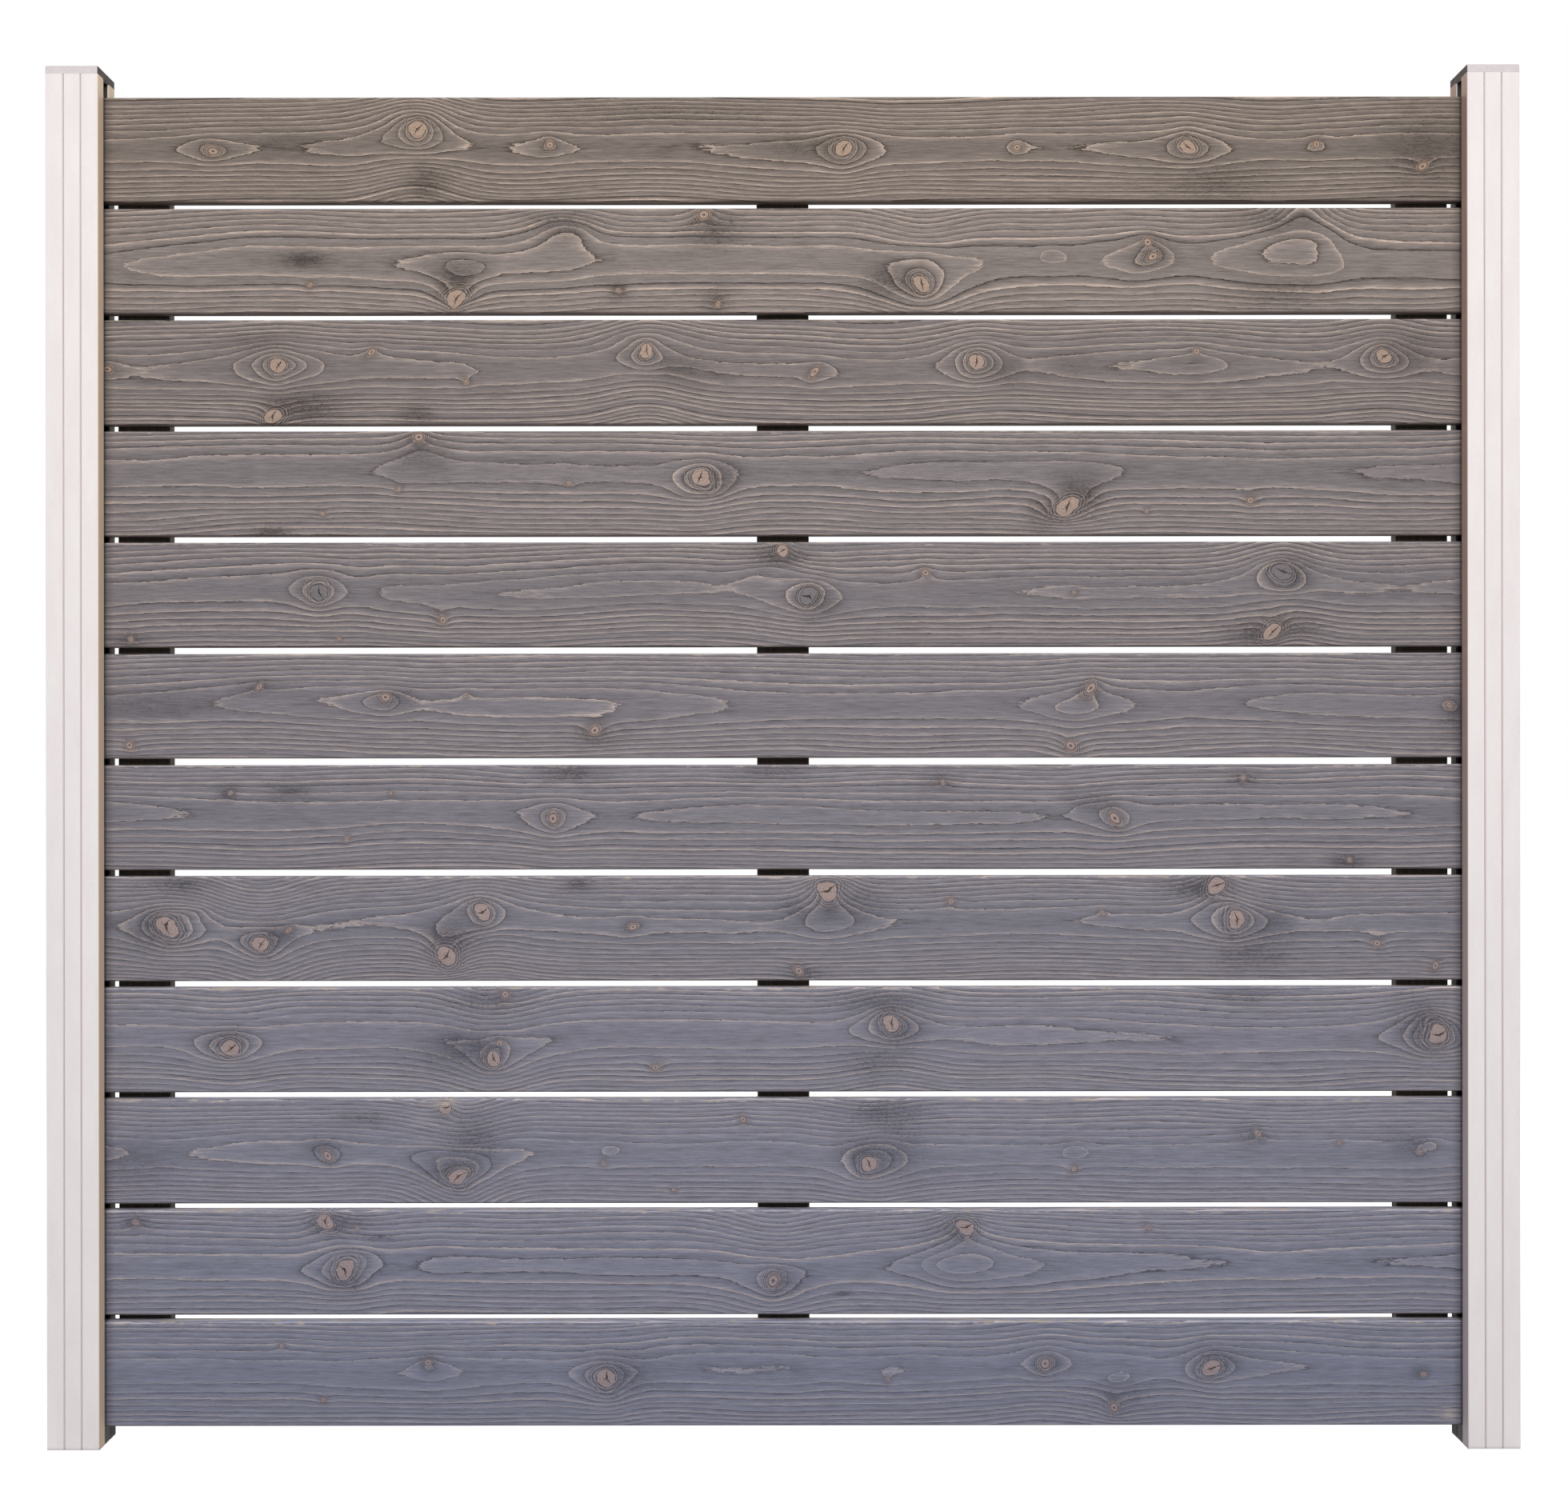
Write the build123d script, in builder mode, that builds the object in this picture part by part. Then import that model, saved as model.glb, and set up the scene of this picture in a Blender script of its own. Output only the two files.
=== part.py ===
"""Wooden fence panel between two slotted aluminium posts.

Horizontal boards are screwed from behind to upright battens. Each post has a T-slot in all four
sides. The board ends stand in the inner slots, against the front lips, and the bottom board sits on
a spacer block in each slot. Cover strips close the other slots, and a flat cap closes each post.

Millimetres. X runs along the panel, -Y is the front, Z is up. The origin is on the ground, midway
between the posts and at the middle of their depth.
"""

import os

from build123d import *

# Boards
board_count = 12
board_height = 140.0
board_thickness = 20.0
board_gap = 9.0
board_edge_chamfer = 3.0

# Field between the posts
field_width = 1817.0
ground_gap = 24.5
head_gap = 24.5

# Posts
post_size = 70.0
post_wall = 2.5
post_corner_radius = 0.8
core_width = 29.0
lip_thickness = 3.0
lip_undercut = 3.5
slot_play = 3.0
slot_engagement = 12.0
mouth_chamfer = 1.2

# Cover strips in the front, back and outer slots
strip_clearance = 0.2
strip_grip = 2.5
strip_flange = 1.5

# Post caps
cap_height = 10.5
cap_wall = 3.0
cap_edge_chamfer = 0.6
cap_plug_length = 18.0
cap_plug_wall = 2.0
cap_plug_clearance = 0.3

# Spacer blocks under the bottom board
spacer_clearance = 0.3

# Battens behind the boards
batten_names = ("left", "middle", "right")
batten_width = 70.0
batten_thickness = 24.0
batten_edge_gap = 12.5
batten_setback = 10.0
batten_edge_chamfer = 2.0

# Countersunk screws, drawn with flat sides to keep the faces few. Widths are across the flats.
screw_sides = 6
screw_shank_width = 4.0
screw_head_width = 8.0
screw_spacing = 90.0
screw_cover = 6.0
screw_clearance = 0.05

# Derived sizes
board_pitch = board_height + board_gap
board_length = field_width + 2 * slot_engagement
panel_height = board_count * board_pitch - board_gap
panel_middle = ground_gap + panel_height / 2
slot_mouth = board_thickness + slot_play
slot_width = slot_mouth + 2 * lip_undercut
slot_depth = (post_size - core_width) / 2 - post_wall
post_length = ground_gap + panel_height + head_gap
post_offset = (field_width + post_size) / 2
board_front = -slot_mouth / 2
board_back = board_front + board_thickness
batten_back = board_back + batten_thickness
batten_count = len(batten_names)
batten_spacing = (field_width - batten_width - 2 * batten_edge_gap) / (batten_count - 1)
screw_bite = board_thickness - screw_cover
screw_length = batten_thickness + screw_bite
screw_head_depth = (screw_head_width - screw_shank_width) / 2


def facing_back(y, z):
    """A plane across the panel at depth y, centred at height z, that faces the back."""
    return Plane(origin=(0, y, z), x_dir=(1, 0, 0), z_dir=(0, 1, 0))


def screw_outline(width):
    """The flat-sided outline of a screw, or of its hole, that is this wide across the flats."""
    return RegularPolygon(width / 2, screw_sides, major_radius=False)


def make_board(bottom):
    """A planed board with chamfered long edges and blind screw holes at each batten."""
    middle = bottom + board_height / 2
    with BuildPart() as board:
        with BuildSketch(Plane.YZ.offset(-board_length / 2)) as section:
            with Locations((board_front + board_thickness / 2, middle)):
                Rectangle(board_thickness, board_height)
            chamfer(section.vertices(), board_edge_chamfer)
        extrude(amount=board_length)
        with BuildSketch(facing_back(board_back, middle)):
            with GridLocations(batten_spacing, screw_spacing, batten_count, 2):
                screw_outline(screw_shank_width + 2 * screw_clearance)
        extrude(amount=-(screw_bite + screw_clearance), mode=Mode.SUBTRACT)
    return board.part


def make_batten(x):
    """An upright batten, countersunk and drilled through for the screws of each board."""
    with BuildPart() as batten:
        with BuildSketch(Plane.XY.offset(ground_gap + batten_setback)) as section:
            with Locations((x, board_back + batten_thickness / 2)):
                Rectangle(batten_width, batten_thickness)
            chamfer(section.vertices(), batten_edge_chamfer)
        extrude(amount=panel_height - 2 * batten_setback)
        with BuildSketch(facing_back(batten_back, panel_middle)):
            with Locations((x, 0)):
                with GridLocations(0, board_pitch, 1, board_count):
                    with GridLocations(0, screw_spacing, 1, 2):
                        screw_outline(screw_head_width + 2 * screw_clearance)
        extrude(amount=-screw_head_depth, taper=45, mode=Mode.SUBTRACT)
        with BuildSketch(facing_back(batten_back, panel_middle)):
            with Locations((x, 0)):
                with GridLocations(0, board_pitch, 1, board_count):
                    with GridLocations(0, screw_spacing, 1, 2):
                        screw_outline(screw_shank_width + 2 * screw_clearance)
        extrude(amount=-batten_thickness, mode=Mode.SUBTRACT)
    return batten.part


def make_batten_screws(x):
    """The screws of one batten, two into each board, with their heads flush in the batten's back."""
    with BuildPart() as screws:
        with BuildSketch(facing_back(batten_back, panel_middle)):
            with Locations((x, 0)):
                with GridLocations(0, board_pitch, 1, board_count):
                    with GridLocations(0, screw_spacing, 1, 2):
                        screw_outline(screw_head_width)
        extrude(amount=-screw_head_depth, taper=45)
        with BuildSketch(facing_back(batten_back, panel_middle)):
            with Locations((x, 0)):
                with GridLocations(0, board_pitch, 1, board_count):
                    with GridLocations(0, screw_spacing, 1, 2):
                        screw_outline(screw_shank_width)
        extrude(amount=-screw_length)
    return screws.part


def make_post(x):
    """A hollow extruded post: a square core, a chamber in each corner and a T-slot in each side."""
    cavity_depth = slot_depth - lip_thickness
    chamber_inner = max(slot_width, core_width) / 2 + post_wall
    chamber_outer = post_size / 2 - post_wall
    chamber_width = chamber_outer - chamber_inner
    with BuildPart() as post:
        with BuildSketch():
            with Locations((x, 0)):
                RectangleRounded(post_size, post_size, post_corner_radius)
                Rectangle(core_width, core_width, mode=Mode.SUBTRACT)
                with PolarLocations((post_size - slot_depth) / 2, 4):
                    Rectangle(slot_depth, slot_mouth, mode=Mode.SUBTRACT)
                with PolarLocations((post_size - slot_depth - lip_thickness) / 2, 4):
                    Rectangle(cavity_depth, slot_width, mode=Mode.SUBTRACT)
                with GridLocations(chamber_inner + chamber_outer, chamber_inner + chamber_outer, 2, 2):
                    Rectangle(chamber_width, chamber_width, mode=Mode.SUBTRACT)
                with PolarLocations(post_size / 2, 4):
                    with GridLocations(0, slot_mouth, 1, 2):
                        RegularPolygon(mouth_chamfer, 4, mode=Mode.SUBTRACT)
        extrude(amount=post_length)
    return post.part


def make_cover_strip(x, direction):
    """A strip that slides into a slot and lies flush with the lips; direction is in degrees from +X."""
    face_width = slot_mouth - 2 * strip_clearance
    strip_depth = lip_thickness + strip_clearance + strip_flange
    with BuildPart() as strip:
        with BuildSketch():
            with Locations(Location((x, 0, 0), (0, 0, direction))):
                with Locations(((post_size - strip_depth) / 2, 0)):
                    Rectangle(strip_depth, face_width)
                with Locations((post_size / 2 - strip_depth + strip_flange / 2, 0)):
                    Rectangle(strip_flange, slot_mouth + 2 * strip_grip)
                with Locations((post_size / 2, 0)):
                    with GridLocations(0, face_width, 1, 2):
                        RegularPolygon(mouth_chamfer, 4, mode=Mode.SUBTRACT)
        extrude(amount=post_length)
    return strip.part


def make_post_cap(x):
    """A moulded lid, flush with the post, with a hollow plug that fits the post's core."""
    plug_width = core_width - 2 * cap_plug_clearance
    with BuildPart() as cap:
        with BuildSketch(Plane.XY.offset(post_length)):
            with Locations((x, 0)):
                RectangleRounded(post_size, post_size, post_corner_radius)
        extrude(amount=cap_height)
        chamfer(cap.faces().sort_by(Axis.Z)[-1].edges(), cap_edge_chamfer)
        with BuildSketch(Plane.XY.offset(post_length)):
            with Locations((x, 0)):
                Rectangle(post_size - 2 * cap_wall, post_size - 2 * cap_wall)
        extrude(amount=cap_height - cap_wall, mode=Mode.SUBTRACT)
        with BuildSketch(Plane.XY.offset(post_length - cap_plug_length)):
            with Locations((x, 0)):
                Rectangle(plug_width, plug_width)
                Rectangle(plug_width - 2 * cap_plug_wall, plug_width - 2 * cap_plug_wall, mode=Mode.SUBTRACT)
        extrude(amount=cap_plug_length + cap_height - cap_wall)
    return cap.part


def make_slot_spacer(side):
    """A T-shaped block that fills the foot of a post's inner slot and carries the bottom board."""
    mouth_x = field_width / 2
    body_depth = slot_depth - lip_thickness - 2 * spacer_clearance
    body_x = mouth_x + slot_depth - spacer_clearance - body_depth / 2
    with BuildPart() as spacer:
        with BuildSketch():
            with Locations((side * body_x, 0)):
                Rectangle(body_depth, slot_width - 2 * spacer_clearance)
            with Locations((side * (mouth_x + slot_depth / 2), 0)):
                Rectangle(slot_depth - 2 * spacer_clearance, slot_mouth - 2 * spacer_clearance)
        extrude(amount=ground_gap)
    return spacer.part


def save(part, name):
    """Labels a finished piece and writes its STEP file."""
    part.label = name
    export_step(part, f"parts/{name}.step")


os.makedirs("parts", exist_ok=True)

for row in range(board_count):
    save(make_board(ground_gap + row * board_pitch), f"board_{board_count - row:02d}")

for position, name in enumerate(batten_names):
    batten_x = (position - (batten_count - 1) / 2) * batten_spacing
    save(make_batten(batten_x), f"batten_{name}")
    save(make_batten_screws(batten_x), f"batten_screws_{name}")

for side, name, outward in ((-1, "left", 180), (1, "right", 0)):
    post_x = side * post_offset
    save(make_post(post_x), f"post_{name}")
    save(make_cover_strip(post_x, -90), f"cover_strip_{name}_front")
    save(make_cover_strip(post_x, 90), f"cover_strip_{name}_back")
    save(make_cover_strip(post_x, outward), f"cover_strip_{name}_outer")
    save(make_post_cap(post_x), f"post_cap_{name}")
    save(make_slot_spacer(side), f"slot_spacer_{name}")
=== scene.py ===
"""Dresses the fence panel: brushed boards, battens, screws, powder-coated posts, light and camera."""

import math

import bpy
import numpy as np
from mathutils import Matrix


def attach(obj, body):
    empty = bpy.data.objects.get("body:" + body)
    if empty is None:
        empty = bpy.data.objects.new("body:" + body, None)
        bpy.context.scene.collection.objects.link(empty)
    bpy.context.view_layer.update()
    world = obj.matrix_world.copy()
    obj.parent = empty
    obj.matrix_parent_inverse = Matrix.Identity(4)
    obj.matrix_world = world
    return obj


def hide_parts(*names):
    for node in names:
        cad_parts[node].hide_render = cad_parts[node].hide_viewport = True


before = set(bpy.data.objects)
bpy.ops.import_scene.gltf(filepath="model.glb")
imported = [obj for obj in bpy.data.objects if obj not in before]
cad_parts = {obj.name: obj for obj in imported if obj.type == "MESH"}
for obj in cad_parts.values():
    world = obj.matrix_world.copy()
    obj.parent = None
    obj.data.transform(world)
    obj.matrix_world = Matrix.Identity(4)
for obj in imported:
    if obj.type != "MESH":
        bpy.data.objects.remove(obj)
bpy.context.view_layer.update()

# Sizes in metres, the same as in the part's source
BOARD_COUNT = 12
BOARD_HEIGHT = 0.140
BOARD_THICKNESS = 0.020
BOARD_GAP = 0.009
FIELD_WIDTH = 1.817
GROUND_GAP = 0.0245
POST_SIZE = 0.070
SLOT_MOUTH = 0.023
SLOT_DEPTH = 0.018
SLOT_ENGAGEMENT = 0.012
BATTEN_WIDTH = 0.070
BATTEN_THICKNESS = 0.024
BATTEN_EDGE_GAP = 0.0125
BATTEN_SETBACK = 0.010
BATTEN_EDGE = 0.002
SCREW_SPACING = 0.090

# Sizes that follow from these
BOARD_PITCH = BOARD_HEIGHT + BOARD_GAP
BOARD_LENGTH = FIELD_WIDTH + 2 * SLOT_ENGAGEMENT
BOARD_FRONT = -SLOT_MOUTH / 2
BOARD_BACK = BOARD_FRONT + BOARD_THICKNESS
PANEL_HEIGHT = BOARD_COUNT * BOARD_PITCH - BOARD_GAP
BATTEN_BACK = BOARD_BACK + BATTEN_THICKNESS
END_BATTEN_X = (FIELD_WIDTH - BATTEN_WIDTH) / 2 - BATTEN_EDGE_GAP
BATTEN_X = {"left": -END_BATTEN_X, "middle": 0.0, "right": END_BATTEN_X}

# The boards' edges are eased by less than the solids' chamfers, because the photograph's gaps look narrow
BOARD_EDGE = 0.0016

# The materials and the grain work in millimetres: half the clear width between the posts, a slot's floor, the
# posts' half width and middle, the seams' distance from that middle, and the top of the boards
MM = 1000.0
FIELD_HALF = MM * FIELD_WIDTH / 2
SLOT_FLOOR = FIELD_HALF + MM * SLOT_DEPTH
POST_HALF = MM * POST_SIZE / 2
POST_MIDDLE = FIELD_HALF + POST_HALF
SEAM = MM * SLOT_MOUTH / 2
PANEL_TOP = MM * (GROUND_GAP + PANEL_HEIGHT)

# The photograph's camera: its place in metres, its focal length and picture width in pixels, and its roll;
# the sensor's width, in millimetres, only has to agree with the lens
EYE = (0.0013, -2.8593, 0.9218)
FOCAL_PIXELS = 2659.5
PHOTO_WIDTH_PIXELS = 1960
ROLL = math.radians(0.062)
SENSOR_WIDTH = 36.0


def board_middle(number):
    """The height of a board's middle; board 1 is the top one."""
    return GROUND_GAP + (BOARD_COUNT - number) * BOARD_PITCH + BOARD_HEIGHT / 2


class Tree:
    """Adds shader nodes to a material, with plain numbers or sockets as inputs."""

    def __init__(self, name):
        self.material = bpy.data.materials.new(name)
        self.material.use_nodes = True
        self.nodes = self.material.node_tree.nodes
        self.links = self.material.node_tree.links
        self.shader = self.nodes["Principled BSDF"]

    def put(self, socket, value):
        """Sets a socket to a number, or links it to another socket."""
        if isinstance(value, bpy.types.NodeSocket):
            self.links.new(value, socket)
        else:
            socket.default_value = value

    def math(self, operation, a, b=0.0, c=0.0, clamp=False):
        """Works out a number; MULTIPLY_ADD gives a times b, plus c."""
        node = self.nodes.new("ShaderNodeMath")
        node.operation = operation
        node.use_clamp = clamp
        for socket, value in zip(node.inputs, (a, b, c)):
            self.put(socket, value)
        return node.outputs[0]

    def vector(self, operation, a, b=(0.0, 0.0, 0.0)):
        """Works out a vector, or the length of one."""
        node = self.nodes.new("ShaderNodeVectorMath")
        node.operation = operation
        self.put(node.inputs[0], a)
        self.put(node.inputs[1], b)
        return node.outputs["Value" if operation == "LENGTH" else "Vector"]

    def split(self, vector):
        """The three numbers of a vector."""
        node = self.nodes.new("ShaderNodeSeparateXYZ")
        self.put(node.inputs[0], vector)
        return node.outputs[0], node.outputs[1], node.outputs[2]

    def place(self, origin=(0.0, 0.0, 0.0)):
        """The surface point in millimetres from an origin, which is in metres."""
        point = self.nodes.new("ShaderNodeTexCoord").outputs["Object"]
        return self.vector("MULTIPLY", self.vector("SUBTRACT", point, origin), (MM, MM, MM))

    def attribute(self, name, output="Vector"):
        """A value that the mesh holds."""
        node = self.nodes.new("ShaderNodeAttribute")
        node.attribute_name = name
        return node.outputs[output]

    def noise(self, point, scale, detail, roughness, shift=(0.0, 0.0, 0.0), distortion=0.0):
        """Noise from about -1 to 1; the scale is per millimetre, along each axis."""
        node = self.nodes.new("ShaderNodeTexNoise")
        node.noise_dimensions = "3D"
        self.put(node.inputs["Vector"], self.vector("ADD", self.vector("MULTIPLY", point, scale), shift))
        node.inputs["Scale"].default_value = 1.0
        node.inputs["Detail"].default_value = detail
        node.inputs["Roughness"].default_value = roughness
        node.inputs["Distortion"].default_value = distortion
        return self.math("MULTIPLY_ADD", node.outputs["Fac"], 2.0, -1.0)

    def wander(self, w):
        """Smooth noise from about -1 to 1 along a single number."""
        node = self.nodes.new("ShaderNodeTexNoise")
        node.noise_dimensions = "1D"
        self.put(node.inputs["W"], w)
        node.inputs["Scale"].default_value = 1.0
        node.inputs["Detail"].default_value = 0.0
        return self.math("MULTIPLY_ADD", node.outputs["Fac"], 2.0, -1.0)

    def step(self, value, low, high):
        """0 at low, 1 at high, and smooth between; low may be the larger."""
        node = self.nodes.new("ShaderNodeMapRange")
        node.interpolation_type = "SMOOTHSTEP"
        self.put(node.inputs["Value"], value)
        node.inputs["From Min"].default_value = min(low, high)
        node.inputs["From Max"].default_value = max(low, high)
        node.inputs["To Min"].default_value = 0.0 if low < high else 1.0
        node.inputs["To Max"].default_value = 1.0 if low < high else 0.0
        return node.outputs["Result"]

    def mix(self, factor, a, b, blend="MIX"):
        """Colour a where the factor is 0, and b where it is 1."""
        node = self.nodes.new("ShaderNodeMix")
        node.data_type = "RGBA"
        node.blend_type = blend
        self.put(node.inputs[0], factor)
        self.put(node.inputs[6], a)
        self.put(node.inputs[7], b)
        return node.outputs[2]

    def dim(self, colour, level):
        """A colour made darker or lighter by a number."""
        return self.mix(1.0, colour, level, "MULTIPLY")

    def finish(self, colour, roughness, height, depth, specular=0.5):
        """The finished material; its fine relief has this height, by a depth in metres."""
        self.put(self.shader.inputs["Base Color"], colour)
        self.put(self.shader.inputs["Roughness"], roughness)
        self.shader.inputs["Specular IOR Level"].default_value = specular
        bump = self.nodes.new("ShaderNodeBump")
        bump.inputs["Strength"].default_value = 1.0
        bump.inputs["Distance"].default_value = depth
        self.put(bump.inputs["Height"], height)
        self.links.new(bump.outputs[0], self.shader.inputs["Normal"])
        return self.material


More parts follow.
